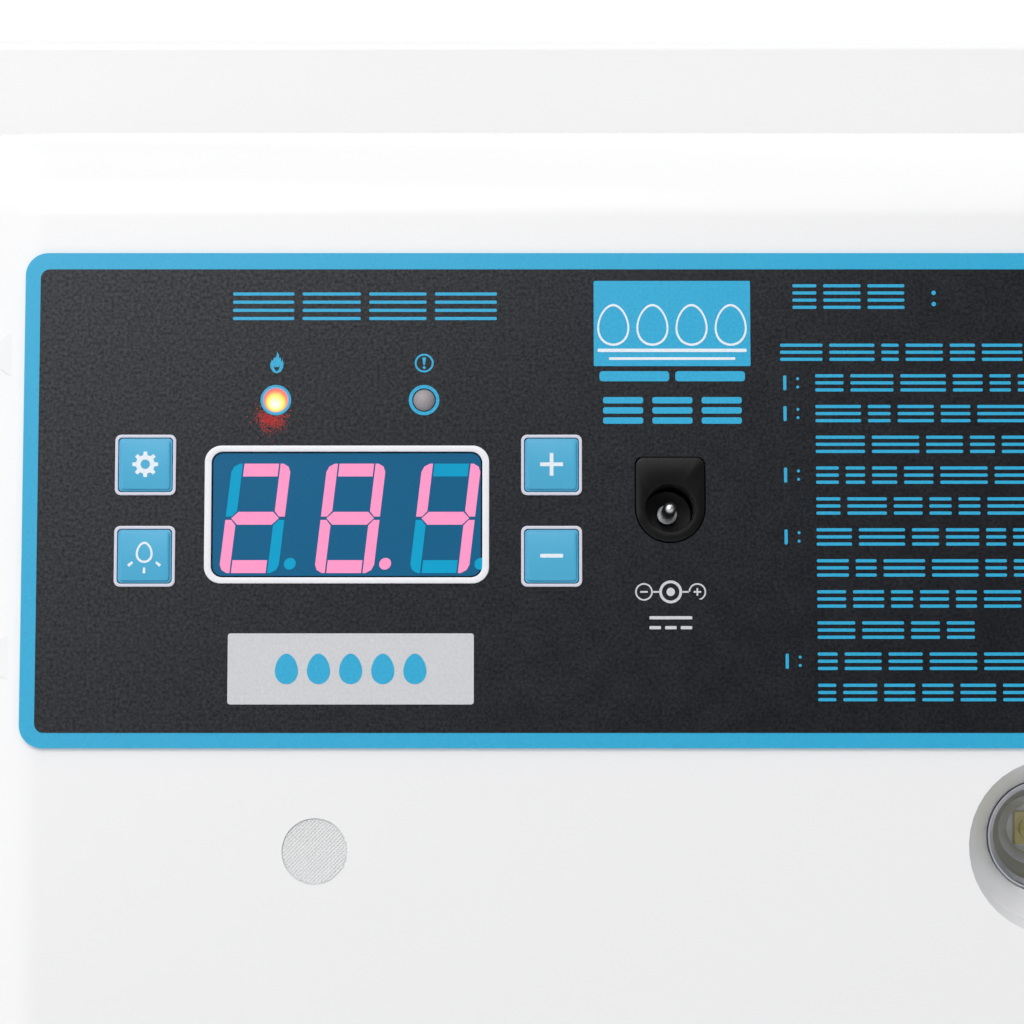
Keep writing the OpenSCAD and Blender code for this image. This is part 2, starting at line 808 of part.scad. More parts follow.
module inlet_pins() {
    pin_reach = 9;
    blade_r = 1.2;
    color("silver") on_rear(inlet_x, rear_z) for (side = [-1, 1])
        translate([side * 4.3, 0, -inlet_bore]) {
            cylinder(r = blade_r, h = pin_reach);
            translate([0, 0, pin_reach]) sphere(blade_r);
        }
}

module switch_housing() {
    flange_h = 1.5;
    color("#1c1c1c") on_rear(switch_x, rear_z) difference() {
        union() {
            rounded_plate([15, 21], 1, 0, flange_h);
            translate([0, 0, -switch_depth]) linear_extrude(switch_depth + eps)
                square(switch_body - [0.1, 0.1], center = true);
        }
        translate([0, 0, 3 - switch_depth]) linear_extrude(switch_depth) square(switch_well, center = true);
        translate([-7, 0, -rocker_depth]) rotate([0, 90, 0]) cylinder(r = axle_r + 0.05, h = 14);
    }
}

// The rocker is a slice of a drum about its axis, drawn at one end of its throw
module rocker() {
    axle_len = switch_well.x + 2.2;
    half_len = 7.6;
    width = switch_well.x - 0.6;
    color("#b02020") on_rear(switch_x, rear_z) translate([0, 0, -rocker_depth]) rotate([rocker_tilt, 0, 0])
        rotate([0, 90, 0]) {
            cylinder(r = axle_r, h = axle_len, center = true);
            linear_extrude(width, center = true)
                polygon([[2.5, -4], [2.5, 4], [0, half_len], [-3.5, half_len], [-2.8, 0], [-3.5, -half_len],
                    [0, -half_len]]);
        }
}

module mains_harness() {
    start = [[inlet_x, rear_y - inlet_depth - 0.2, rear_z], [inlet_x, rear_y - 22, rear_z - 1]];
    down = [[122, 199, 28], [132, 197, 18], [145, 188, 14]];
    along = [[harness_x - 0.5, 170, 13.5], [harness_x, 60, 13.5], [harness_x, -60, 13.5]];
    finish = [[harness_x - 0.5, -150, 13.5], [143, -171, 14], [126, -186, 16], [110, -190, 17], [100, -190, 16]];
    color("gray") wire(concat(start, down, along, finish), 2.2);
}

module heater_leads() {
    color("firebrick") wire([[leads_x, leads_y - 0.3, liner_z + 1], [leads_x, leads_y - 0.9, liner_z - 1],
        [leads_x, -146, 16.5], [leads_x, -158, 15.8], [leads_x + 6, -166.5, 17], [leads_x + 16, -172, 19],
        [leads_x + 22, -178, 17]], 1);
}

module candler_leads() {
    color("darkorange") wire([[lamp_x, -198.7, 46], [lamp_x, -192, 46], [44, -187, 49], [36, -184, 57],
        [24, -186, 66], [10, -192, 74]], 0.9);
}

module hinge_brackets() {
    rise = hinge_z - deck_z;
    color("gainsboro") for (side = [-1, 1])
        translate([side * hinge_x, hinge_y, deck_z]) difference() {
            union() {
                translate([0, 0.8, 0]) rounded_plate(bracket_size, 3, 0, bracket_t);
                for (lug = [-1, 1])
                    translate([lug * (lug_in + lug_t / 2), 0, 0]) {
                        translate([-lug_t / 2, -knuckle_r, 1]) cube([lug_t, 2 * knuckle_r, rise - 1]);
                        translate([0, 0, rise]) rotate([0, 90, 0]) cylinder(r = knuckle_r, h = lug_t, center = true);
                    }
            }
            translate([0, 0, rise]) rotate([0, 90, 0]) cylinder(r = pin_r, h = bracket_size.x, center = true);
            for (dx = [-1, 1])
                translate([dx * bracket_screw_x, 0, -past]) cylinder(r = bracket_screw_r, h = bracket_t + 2 * past);
        }
}

module bracket_screws() {
    head_h = 1.2;
    color("silver") for (side = [-1, 1], dx = [-1, 1])
        translate([side * hinge_x + dx * bracket_screw_x, hinge_y, deck_z + bracket_t]) {
            difference() {
                cylinder(r1 = 2 * bracket_screw_r, r2 = bracket_screw_r, h = head_h);
                translate([0, 0, head_h / 2]) linear_extrude(head_h) square([3.6, 0.6], center = true);
            }
            translate([0, 0, -bracket_t - wall - 0.8])
                cylinder(r = bracket_screw_r - screw_fit, h = bracket_t + wall + 0.8 + eps);
        }
}

module hinge_pins() {
    head_t = 0.8;
    pin_half = lug_in + lug_t + head_t;
    color("silver") for (side = [-1, 1])
        translate([side * hinge_x, hinge_y, hinge_z]) rotate([0, 90, 0]) {
            cylinder(r = pin_r, h = 2 * pin_half, center = true);
            for (end = [-1, 1])
                translate([0, 0, end * (pin_half - head_t / 2)]) cylinder(r = pin_r + 0.7, h = head_t, center = true);
        }
}

// One corner post of the lid with its rounded upper edge
module lid_corner(r, top, edge)
    rotate_extrude($fn = 64)
        polygon(concat([[0, 0], [r, 0]], [for (a = [0:15:90]) [r - edge + edge * cos(a), top - edge + edge * sin(a)]],
            [[0, top]]));

module lid_form(w, d, r, top, edge)
    hull()
        for (sx = [-1, 1], sy = [-1, 1])
            translate([sx * (w / 2 - r), sy * (d / 2 - r), 0]) lid_corner(r, top, edge);

clamp_spots = [for (sx = [-1, 1], sy = [-1, 0, 1]) [sx * (window_w / 2 + pane_lap + 4), sy * (window_d / 2 - 4)]];

module lid_frame() {
    inner_w = lid_outer_w - 2 * lid_wall;
    inner_d = lid_outer_d - 2 * lid_wall;
    back = tub_y + lid_outer_d / 2 - lid_wall;
    arm_drop = 3;
    color("white") difference() {
        union() {
            translate([0, tub_y, lid_z]) difference() {
                lid_form(lid_outer_w, lid_outer_d, lid_corner_r, lid_h, lid_edge_r);
                translate([0, 0, -past])
                    lid_form(inner_w, inner_d, lid_corner_r - lid_wall, lid_h - lid_wall + past, 0.8);
            }
            for (p = clamp_spots)
                translate([p.x, tub_y + p.y, clamp_z + clamp_t]) cylinder(r = post_r, h = pane_t + seal_t + 0.5);
            for (side = [-1, 1])
                translate([side * hinge_x, 0, 0]) {
                    translate([-knuckle_half, back, hinge_z - arm_drop])
                        cube([2 * knuckle_half, hinge_y - back, arm_drop + knuckle_r - 0.4]);
                    translate([0, hinge_y, hinge_z]) rotate([0, 90, 0])
                        cylinder(r = knuckle_r - 0.2, h = 2 * knuckle_half, center = true);
                }
        }
        translate([0, tub_y, 0]) rounded_plate([window_w, window_d], window_r, lid_z + 5, lid_top_z + past);
        for (side = [-1, 1])
            translate([side * hinge_x, hinge_y, hinge_z]) rotate([0, 90, 0])
                cylinder(r = pin_r + pin_fit, h = 2 * (knuckle_half + past), center = true);
        for (p = clamp_spots)
            translate([p.x, tub_y + p.y, clamp_z]) cylinder(r = clamp_screw_r + screw_fit, h = clamp_t + 3.5);
    }
}

module window_gasket() {
    inner = [window_w, window_d] + [2, 2];
    outer = [window_w, window_d] + [1, 1] * 2 * (pane_lap - 2);
    color("dimgray") translate([0, tub_y, 0])
        rounded_ring(outer, window_r + 6, inner, window_r + 1, seal_z, seal_z + seal_t);
}

module lid_window() {
    color("azure", 0.4) translate([0, tub_y, 0])
        rounded_plate([window_w, window_d] + [1, 1] * 2 * (pane_lap - 0.5), window_r + 8, pane_z, pane_z + pane_t);
}

module lid_inner_frame() {
    color("white") difference() {
        translate([0, tub_y, 0])
            rounded_ring([window_w, window_d] + [1, 1] * 2 * clamp_w, window_r + 8, [window_w, window_d], window_r,
                clamp_z, clamp_z + clamp_t);
        for (p = clamp_spots)
            translate([p.x, tub_y + p.y, clamp_z - past])
                cylinder(r = clamp_screw_r + 3 * screw_fit, h = clamp_t + 2 * past);
    }
}

module lid_screws() {
    head_h = 1.4;
    color("silver") for (p = clamp_spots)
        translate([p.x, tub_y + p.y, clamp_z]) {
            translate([0, 0, -head_h]) cylinder(r = 2 * clamp_screw_r, h = head_h);
            translate([0, 0, -eps]) cylinder(r = clamp_screw_r, h = clamp_t + 3);
        }
}

outer_shell();
base_plate();
base_screws();
rubber_feet();
foam_tub();
liner_tub();
heating_film();
thermal_cutout();
water_bed();
filler_neck();
filler_cap();
insulating_quilt();
rim_gasket();
temperature_probe();
probe_lead();
probe_grommet();
front_overlay();
key_bezels();
key_set();
key_candle();
key_plus();
key_minus();
display_module();
display_window();
display_frame();
heat_led();
alarm_led();
main_board();
board_screws();
tact_switches();
alarm_buzzer();
dc_jack();
dc_jack_pin();
candler_reflector();
candler_lens();
candler_led();
candler_board();
candler_holder();
vent_mesh();
power_board();
power_transformer();
filter_capacitor();
mains_inlet();
inlet_pins();
switch_housing();
rocker();
mains_harness();
heater_leads();
candler_leads();
hinge_brackets();
bracket_screws();
hinge_pins();
lid_frame();
lid_window();
window_gasket();
lid_inner_frame();
lid_screws();
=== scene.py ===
"""Looks of the egg incubator: materials, printed panel, soft goods, light and camera round the frame."""
import json
import math
import random

import bmesh
import bpy
from mathutils import Matrix, Vector


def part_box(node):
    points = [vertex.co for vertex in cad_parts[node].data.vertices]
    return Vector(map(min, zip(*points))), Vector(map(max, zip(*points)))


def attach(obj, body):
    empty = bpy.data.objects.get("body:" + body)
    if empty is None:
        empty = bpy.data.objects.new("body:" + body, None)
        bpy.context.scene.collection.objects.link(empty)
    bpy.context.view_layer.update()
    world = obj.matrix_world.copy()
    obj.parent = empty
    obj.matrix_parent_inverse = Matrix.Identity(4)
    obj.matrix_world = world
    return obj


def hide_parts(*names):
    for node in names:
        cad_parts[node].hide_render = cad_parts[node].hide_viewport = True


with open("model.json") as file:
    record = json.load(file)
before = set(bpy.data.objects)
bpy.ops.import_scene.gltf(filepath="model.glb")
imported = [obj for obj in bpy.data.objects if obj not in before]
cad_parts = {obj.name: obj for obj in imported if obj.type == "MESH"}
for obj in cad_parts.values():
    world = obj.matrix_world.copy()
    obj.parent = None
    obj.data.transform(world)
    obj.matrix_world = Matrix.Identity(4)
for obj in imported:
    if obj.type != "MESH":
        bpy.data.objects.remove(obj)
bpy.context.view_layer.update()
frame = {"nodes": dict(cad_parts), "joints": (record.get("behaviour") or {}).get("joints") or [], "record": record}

NODES = frame["nodes"]
MM = 0.001
MICRON = 0.000001
SEED = 36
random.seed(SEED)

# --------------------------------------------------------------------------------------
# Places taken from the frame
# --------------------------------------------------------------------------------------


def centre(node):
    low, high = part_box(node)
    return (Vector(low) + Vector(high)) / 2


def joint(name):
    return next(j for j in frame["joints"] if j["name"] == name)


FACE_OUT = -Vector(joint("key_set_press")["axis"]).normalized()
FACE_RIGHT = Vector((1, 0, 0))
FACE_UP = FACE_OUT.cross(FACE_RIGHT).normalized()
OVERLAY_T = 0.5
PANEL_CENTRE = centre("front_overlay") + FACE_OUT * OVERLAY_T / 2 * MM


def face_frame(origin):
    """A matrix with X to the right along the face, Y up the face and Z outwards."""
    turn = Matrix((FACE_RIGHT, FACE_UP, FACE_OUT)).transposed().to_4x4()
    return Matrix.Translation(origin) @ turn


def on_panel(point):
    """(x, y) in mm on the panel's printed face, measured from the panel's centre."""
    away = point - PANEL_CENTRE
    return away.dot(FACE_RIGHT) / MM, away.dot(FACE_UP) / MM


def off_panel(x, y, out):
    """The point that stands this many mm out from (x, y) on the panel."""
    return PANEL_CENTRE + (FACE_RIGHT * x + FACE_UP * y + FACE_OUT * out) * MM


# --------------------------------------------------------------------------------------
# New objects
# --------------------------------------------------------------------------------------


def add_object(name, data):
    obj = bpy.data.objects.new(name, data)
    bpy.context.collection.objects.link(obj)
    return obj


def mesh_from(shape, name):
    """Closes a bmesh into a mesh whose faces all look outwards."""
    mesh = bpy.data.meshes.new(name)
    bmesh.ops.recalc_face_normals(shape, faces=shape.faces)
    shape.to_mesh(mesh)
    shape.free()
    return mesh


def shade_smooth(mesh):
    for face in mesh.polygons:
        face.use_smooth = True


def finished(obj):
    """The object's mesh with its modifiers worked out."""
    bpy.context.view_layer.update()
    return bpy.data.meshes.new_from_object(obj.evaluated_get(bpy.context.evaluated_depsgraph_get()))


# --------------------------------------------------------------------------------------
# Materials
# --------------------------------------------------------------------------------------

COAT_ROUGHNESS = 0.08
# Most of a noise texture's values lie between these two
NOISE_LOW = 0.3
NOISE_HIGH = 0.7
# The narrower stretch that a fine speckle uses, for a harder edge
SPECKLE_LOW = 0.35
SPECKLE_HIGH = 0.65


def new_material(name, color, roughness, metallic=0.0, coat=0.0, transmission=0.0, ior=1.5):
    mat = bpy.data.materials.new(name)
    mat.use_nodes = True
    shader = mat.node_tree.nodes["Principled BSDF"]
    shader.inputs["Base Color"].default_value = (*color, 1)
    shader.inputs["Roughness"].default_value = roughness
    shader.inputs["Metallic"].default_value = metallic
    shader.inputs["Coat Weight"].default_value = coat
    shader.inputs["Coat Roughness"].default_value = COAT_ROUGHNESS
    shader.inputs["Transmission Weight"].default_value = transmission
    shader.inputs["IOR"].default_value = ior
    return mat


def add_node(mat, kind, **values):
    node = mat.node_tree.nodes.new(kind)
    for key, value in values.items():
        setattr(node, key, value)
    return node


def join(mat, source, target):
    mat.node_tree.links.new(source, target)


def shader_of(mat):
    return mat.node_tree.nodes["Principled BSDF"]


def object_place(mat, stretch=(1, 1, 1)):
    coords = add_node(mat, "ShaderNodeTexCoord")
    mapping = add_node(mat, "ShaderNodeMapping")
    mapping.inputs["Scale"].default_value = stretch
    join(mat, coords.outputs["Object"], mapping.inputs["Vector"])
    return mapping.outputs["Vector"]


def noise(mat, scale, detail=4.0, stretch=(1, 1, 1)):
    node = add_node(mat, "ShaderNodeTexNoise")
    node.inputs["Scale"].default_value = scale
    node.inputs["Detail"].default_value = detail
    join(mat, object_place(mat, stretch), node.inputs["Vector"])
    return node.outputs["Fac"]


def cells(mat, scale, feature="F1"):
    node = add_node(mat, "ShaderNodeTexVoronoi", feature=feature)
    node.inputs["Scale"].default_value = scale
    join(mat, object_place(mat), node.inputs["Vector"])
    return node.outputs["Distance"]


def ramp(mat, factor, stops):
    """Colours along a factor; stops are (position, (r, g, b))."""
    node = add_node(mat, "ShaderNodeValToRGB")
    spare = node.color_ramp.elements
    while len(spare) < len(stops):
        spare.new(0.5)
    for element, (position, color) in zip(spare, stops):
        element.position = position
        element.color = (*color, 1)
    join(mat, factor, node.inputs["Fac"])
    return node.outputs["Color"]


def scaled(mat, factor, low, high):
    """Stretches a noise to run from low to high."""
    node = add_node(mat, "ShaderNodeMapRange")
    node.inputs["From Min"].default_value = NOISE_LOW
    node.inputs["From Max"].default_value = NOISE_HIGH
    node.inputs["To Min"].default_value = low
    node.inputs["To Max"].default_value = high
    join(mat, factor, node.inputs["Value"])
    return node.outputs["Result"]


def bump(mat, height, depth, strength=1.0):
    """Adds a bump of this depth in microns, on top of any bump already there."""
    node = add_node(mat, "ShaderNodeBump")
    node.inputs["Strength"].default_value = strength
    node.inputs["Distance"].default_value = depth * MICRON
    join(mat, height, node.inputs["Height"])
    slot = shader_of(mat).inputs["Normal"]
    if slot.links:
        join(mat, slot.links[0].from_socket, node.inputs["Normal"])
    join(mat, node.outputs["Normal"], slot)


def tinted(color, by):
    return tuple(min(1.0, c * by) for c in color)


def mottled(mat, color, contrast, scale):
    """Slow drift of the base colour, as on moulded or rolled stock."""
    stops = [(NOISE_LOW, tinted(color, 1 - contrast)), (NOISE_HIGH, tinted(color, 1 + contrast))]
    join(mat, ramp(mat, noise(mat, scale), stops), shader_of(mat).inputs["Base Color"])


def worn_roughness(mat, low, high, scale):
    join(mat, scaled(mat, noise(mat, scale, 6.0), low, high), shader_of(mat).inputs["Roughness"])


def moulded(name, color, rough=(0.2, 0.3), coat=0.0, grain=900, grain_depth=10, contrast=0.015, ior=1.5):
    """Injection-moulded or formed plastic: slow colour drift, rubbed gloss and a fine mould grain."""
    mat = new_material(name, color, rough[0], coat=coat, ior=ior)
    mottled(mat, color, contrast, scale=18)
    worn_roughness(mat, *rough, scale=45)
    bump(mat, noise(mat, grain, 2.0), grain_depth)
    return mat


def white_gloss():
    """The housing's white gloss plastic, with sink marks and faint rubbed patches."""
    mat = moulded("white_gloss_abs", (0.9, 0.9, 0.905), rough=(0.24, 0.27), coat=0.35, grain=2200,
                  grain_depth=3, contrast=0.003)
    bump(mat, noise(mat, 14, 1.0), depth=20)
    return mat


def brushed(name, color, rough=(0.22, 0.4), stretch=(1, 1, 14)):
    """Drawn or brushed metal: fine lines that run along one way."""
    mat = new_material(name, color, rough[0], metallic=1.0)
    mottled(mat, color, contrast=0.04, scale=60)
    worn_roughness(mat, *rough, scale=300)
    bump(mat, noise(mat, 900, 3.0, stretch), depth=10)
    return mat


def metallised(name, color, rough=(0.38, 0.5)):
    """Vacuum-coated plastic: a satin mirror with slight waves."""
    mat = new_material(name, color, rough[0], metallic=1.0)
    mottled(mat, color, contrast=0.04, scale=120)
    worn_roughness(mat, *rough, scale=220)
    bump(mat, noise(mat, 260, 2.0), depth=12)
    return mat


def rubber(name, color, rough=(0.55, 0.8)):
    mat = new_material(name, color, rough[0])
    mottled(mat, color, contrast=0.12, scale=90)
    worn_roughness(mat, *rough, scale=120)
    bump(mat, noise(mat, 1400, 3.0), depth=30)
    return mat


def clear(name, tint, ior=1.49):
    """Clear acrylic with rubbed patches and the slight waves of cast sheet."""
    mat = new_material(name, tint, 0.03, transmission=1.0, ior=ior)
    mottled(mat, tint, contrast=0.01, scale=20)
    worn_roughness(mat, 0.02, 0.09, scale=60)
    bump(mat, noise(mat, 60, 1.0), depth=10)
    return mat


def bead_foam():
    """Expanded polystyrene: pressed beads with dark joints between them."""
    color = (0.9, 0.9, 0.885)
    mat = new_material("bead_foam", color, 0.75)
    beads = 330
    stops = [(0.0, tinted(color, 0.72)), (0.12, color)]
    join(mat, ramp(mat, cells(mat, beads, "DISTANCE_TO_EDGE"), stops), shader_of(mat).inputs["Base Color"])
    worn_roughness(mat, 0.65, 0.85, scale=200)
    bump(mat, cells(mat, beads), depth=500, strength=0.5)
    return mat


def woven(name, color, threads, depth, rough=0.8, sheen=0.3):
    """Plain weave on all faces: the product of two sine waves across the cloth."""
    mat = new_material(name, color, rough)
    shader_of(mat).inputs["Sheen Weight"].default_value = sheen
    place = object_place(mat)
    waves = []
    for direction in ("X", "Y"):
        wave = add_node(mat, "ShaderNodeTexWave", wave_type="BANDS", bands_direction=direction)
        wave.inputs["Scale"].default_value = threads
        wave.inputs["Distortion"].default_value = 0.6
        join(mat, place, wave.inputs["Vector"])
        waves.append(wave.outputs["Fac"])
    weave = add_node(mat, "ShaderNodeMath", operation="MULTIPLY")
    join(mat, waves[0], weave.inputs[0])
    join(mat, waves[1], weave.inputs[1])
    stops = [(0.0, tinted(color, 0.78)), (0.5, color), (1.0, tinted(color, 1.08))]
    join(mat, ramp(mat, weave.outputs["Value"], stops), shader_of(mat).inputs["Base Color"])
    worn_roughness(mat, rough - 0.08, rough + 0.1, scale=80)
    bump(mat, weave.outputs["Value"], depth)
    bump(mat, noise(mat, 35, 3.0), depth=600, strength=0.5)
    return mat


def overlay_film(name, color, rough=(0.22, 0.28), grain_depth=7, speckle=0.22, sparkle=0.04,
                 reflected=(0.93, 0.97, 1.0)):
    """Printed polycarbonate film with the fine speckle and sparkle of its matte hard coat."""
    mat = new_material(name, color, rough[0])
    stops = [(SPECKLE_LOW, tinted(color, 1 - speckle)), (SPECKLE_HIGH, tinted(color, 1 + speckle))]
    join(mat, ramp(mat, noise(mat, 2600, 2.0), stops), shader_of(mat).inputs["Base Color"])
    shine = scaled(mat, noise(mat, 2300, 2.0), 0.5 - sparkle, 0.5 + sparkle)
    join(mat, shine, shader_of(mat).inputs["Specular IOR Level"])
    shader_of(mat).inputs["Specular Tint"].default_value = (*reflected, 1.0)
    worn_roughness(mat, *rough, scale=260)
    bump(mat, noise(mat, 3000, 2.0), grain_depth)
    return mat


def glowing(name, color, strength, core=None, middle=None, radius=1.0):
    """A lit surface; with a middle given, it goes from the hot core there to its own colour at the radius."""
    mat = new_material(name, tinted(color, 0.12), 0.35)
    shader = shader_of(mat)
    shader.inputs["Emission Strength"].default_value = strength
    if middle is None:
        grain = ramp(mat, noise(mat, 1500, 2.0), [(SPECKLE_LOW, tinted(color, 0.93)), (SPECKLE_HIGH, color)])
        join(mat, grain, shader.inputs["Emission Color"])
    else:
        away = add_node(mat, "ShaderNodeVectorMath", operation="DISTANCE")
        join(mat, object_place(mat), away.inputs[0])
        away.inputs[1].default_value = middle
        share = add_node(mat, "ShaderNodeMath", operation="DIVIDE")
        share.inputs[1].default_value = radius
        join(mat, away.outputs["Value"], share.inputs[0])
        amber = (core[0], 0.62, 0.1)
        stops = [(0.2, core), (0.5, amber), (0.8, color), (1.0, tinted(color, 0.8))]
        join(mat, ramp(mat, share.outputs["Value"], stops), shader.inputs["Emission Color"])
    bump(mat, noise(mat, 1200, 2.0), depth=10)
    return mat


def circuit_board():
    """Green solder mask with lighter copper tracks showing through."""
    mat = new_material("circuit_board", (0.015, 0.16, 0.06), 0.35, coat=0.4)
    tracks = cells(mat, 160, "DISTANCE_TO_EDGE")
    stops = [(0.04, (0.05, 0.33, 0.13)), (0.09, (0.012, 0.14, 0.055))]
    join(mat, ramp(mat, tracks, stops), shader_of(mat).inputs["Base Color"])
    worn_roughness(mat, 0.3, 0.45, scale=200)
    bump(mat, tracks, depth=60)
    return mat


def heating_film_finish():
    """Amber polyimide with the darker bands of its etched heating track."""
    color = (0.55, 0.22, 0.03)
    mat = new_material("heating_film", color, 0.3, coat=0.3)
    wave = add_node(mat, "ShaderNodeTexWave", wave_type="BANDS", bands_direction="X")
    wave.inputs["Scale"].default_value = 26
    join(mat, object_place(mat), wave.inputs["Vector"])
    stops = [(0.4, tinted(color, 0.45)), (0.55, color)]
    join(mat, ramp(mat, wave.outputs["Fac"], stops), shader_of(mat).inputs["Base Color"])
    worn_roughness(mat, 0.22, 0.4, scale=90)
    bump(mat, wave.outputs["Fac"], depth=80)
    return mat


def water_vinyl():
    """Blue vinyl film drawn tight over water."""
    color = (0.12, 0.42, 0.68)
    mat = new_material("water_vinyl", color, 0.18, coat=0.5)
    mottled(mat, color, contrast=0.12, scale=22)
    worn_roughness(mat, 0.12, 0.3, scale=70)
    bump(mat, noise(mat, 55, 3.0), depth=600, strength=0.6)
    return mat


PANEL_BLUE = (0.028, 0.4, 0.665)
KEY_BLUE = (0.06, 0.4, 0.64)

FINISHES = {
    "shell_white": white_gloss(),
    "liner_white": moulded("formed_liner", (0.84, 0.85, 0.86), rough=(0.28, 0.42), grain=700, grain_depth=20),
    "foam": bead_foam(),
    "base_plastic": moulded("spark_textured", (0.7, 0.71, 0.72), rough=(0.5, 0.65), grain=1500,
                            grain_depth=60, contrast=0.03),
    "feet_rubber": rubber("feet_rubber", (0.03, 0.03, 0.032)),
    "gasket_rubber": rubber("silicone_seal", (0.5, 0.51, 0.52), rough=(0.4, 0.6)),
    "lead_rubber": rubber("black_sleeve", (0.02, 0.02, 0.022), rough=(0.35, 0.5)),
    "harness_grey": rubber("grey_sleeve", (0.22, 0.23, 0.25), rough=(0.35, 0.5)),
    "lead_red": rubber("red_sleeve", (0.45, 0.03, 0.02), rough=(0.35, 0.5)),
    "lead_orange": rubber("orange_sleeve", (0.7, 0.2, 0.02), rough=(0.35, 0.5)),
    "film_orange": heating_film_finish(),
    "ceramic_cream": moulded("fired_ceramic", (0.72, 0.64, 0.5), rough=(0.6, 0.8), grain=1600, grain_depth=50,
                             contrast=0.08),
    "water_vinyl": water_vinyl(),
    "quilt_fabric": woven("quilt_cloth", (0.5, 0.58, 0.74), threads=420, depth=120),
    "quilt_thread": woven("quilt_thread", (0.78, 0.82, 0.9), threads=900, depth=50),
    "cap_blue": moulded("cap_plastic", (0.03, 0.16, 0.5), rough=(0.3, 0.42), contrast=0.06),
    "steel": brushed("zinc_steel", (0.62, 0.63, 0.65)),
    "chrome_lamp": metallised("metallised_reflector", (0.62, 0.64, 0.68)),
    "overlay_black": overlay_film("overlay_blue", PANEL_BLUE, rough=(0.24, 0.3), grain_depth=6, speckle=0.03),
    "key_blue": moulded("key_cap", KEY_BLUE, rough=(0.3, 0.4), grain=2600, grain_depth=8, contrast=0.05),
    "bezel_pale": moulded("key_bezel", (0.66, 0.66, 0.76), rough=(0.3, 0.4), contrast=0.03),
    "display_black": moulded("display_body", (0.02, 0.022, 0.026), rough=(0.35, 0.5), contrast=0.1),
    "display_blue": moulded("display_face", (0.002, 0.112, 0.245), rough=(0.25, 0.34), grain=2600,
                            grain_depth=10, contrast=0.05, ior=1.3),
    "frame_white": moulded("display_rim", (0.86, 0.86, 0.9), rough=(0.28, 0.38)),
    "led_off": moulded("led_off", (0.36, 0.33, 0.35), rough=(0.55, 0.7), contrast=0.12),
    "board_green": circuit_board(),
    "black_plastic": moulded("black_nylon", (0.0025, 0.0025, 0.003), rough=(0.2, 0.3), grain=1800,
                             grain_depth=5, contrast=0.12, ior=1.33),
    "lens_clear": clear("lens_acrylic", (1, 1, 1)),
    "pane_clear": clear("pane_acrylic", (0.96, 0.985, 1.0)),
    "phosphor": moulded("lamp_phosphor", (0.5, 0.42, 0.05), rough=(0.5, 0.65), grain=2200, grain_depth=40,
                        contrast=0.1),
    "vent_grey": moulded("vent_thread", (0.85, 0.855, 0.86), rough=(0.5, 0.6), contrast=0.03),
    "coil_yellow": moulded("coil_tape", (0.6, 0.42, 0.05), rough=(0.4, 0.55), contrast=0.1),
    "can_navy": moulded("can_sleeve", (0.02, 0.03, 0.12), rough=(0.2, 0.3), contrast=0.1),
    "rocker_red": moulded("rocker_plastic", (0.5, 0.02, 0.015), rough=(0.22, 0.34), contrast=0.06),
    "bracket_white": moulded("powder_coat", (0.8, 0.8, 0.8), rough=(0.35, 0.5), grain=1200, grain_depth=30,
                             contrast=0.02),
}

# The heat lamp is hottest a little below its middle, on the front of its dome
LED_R = 1.5
HOT_SPOT_Y = 12.1
GLOW_R = 2.9
heat_x, _ = on_panel(centre("heat_led"))
FINISHES["led_heat"] = glowing("led_heat", (1.0, 0.16, 0.1), 1.6, core=(1.0, 0.95, 0.7),
                               middle=off_panel(heat_x, HOT_SPOT_Y, LED_R), radius=GLOW_R * MM)

PRINT = {
    "field": overlay_film("overlay_field", (0.0035, 0.0045, 0.0075), speckle=0.35, sparkle=0.2),
    "blue": overlay_film("print_blue", PANEL_BLUE, speckle=0.06, grain_depth=5),
    "white": overlay_film("print_white", (0.8, 0.87, 0.93), speckle=0.04, grain_depth=5),
    "grey": overlay_film("print_grey", (0.62, 0.63, 0.65), speckle=0.04, grain_depth=5),
    "lit": glowing("segment_lit", (1.0, 0.3, 0.56), 0.92),
    "unlit": moulded("segment_unlit", (0.0, 0.35, 0.6), rough=(0.3, 0.4), contrast=0.08, ior=1.25),
    # painted highlight: a pale glowing ring round the heat lamp, standing in for light caught on its rim
    "heat_rim_painted_highlight": glowing("heat_rim_painted_highlight", (0.35, 0.45, 0.8), 0.75),
    # painted reflection: red glowing specks that stand in for the heat lamp's light caught on the film
    "painted_red_glint": glowing("painted_glint_speck", (0.9, 0.03, 0.03), 0.4),
}


def finish_of(node):
    rows = frame["record"]["subparts"]
    return next(row["material_slot"] for row in rows if row["node"] == node)


def paint_nodes():
    for name, obj in NODES.items():
        obj.data.materials.clear()
        obj.data.materials.append(FINISHES[finish_of(name)])


JOIN_WITHIN = 2 * MICRON
CREASE_ANGLE = 30
EDGE_ANGLE = 40
FACETED = ("outer_shell", "lid_frame")
EDGE_ROUNDING = {"key_set": 0.12, "key_candle": 0.12, "key_plus": 0.12, "key_minus": 0.12, "dc_jack": 0.12,
                 "mains_inlet": 0.3, "switch_housing": 0.25, "rocker": 0.3, "hinge_brackets": 0.3,
                 "display_frame": 0.1, "key_bezels": 0.06}


def smooth_faceted(name):
    """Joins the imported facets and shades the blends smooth, with flat faces kept flat."""
    obj = NODES[name]
    obj.modifiers.new("weld", "WELD").merge_threshold = JOIN_WITHIN
    split = obj.modifiers.new("creases", "EDGE_SPLIT")
    split.split_angle = math.radians(CREASE_ANGLE)
    split.use_edge_sharp = False
    even = obj.modifiers.new("even", "WEIGHTED_NORMAL")
    even.weight = 100
    even.keep_sharp = True
    shade_smooth(obj.data)


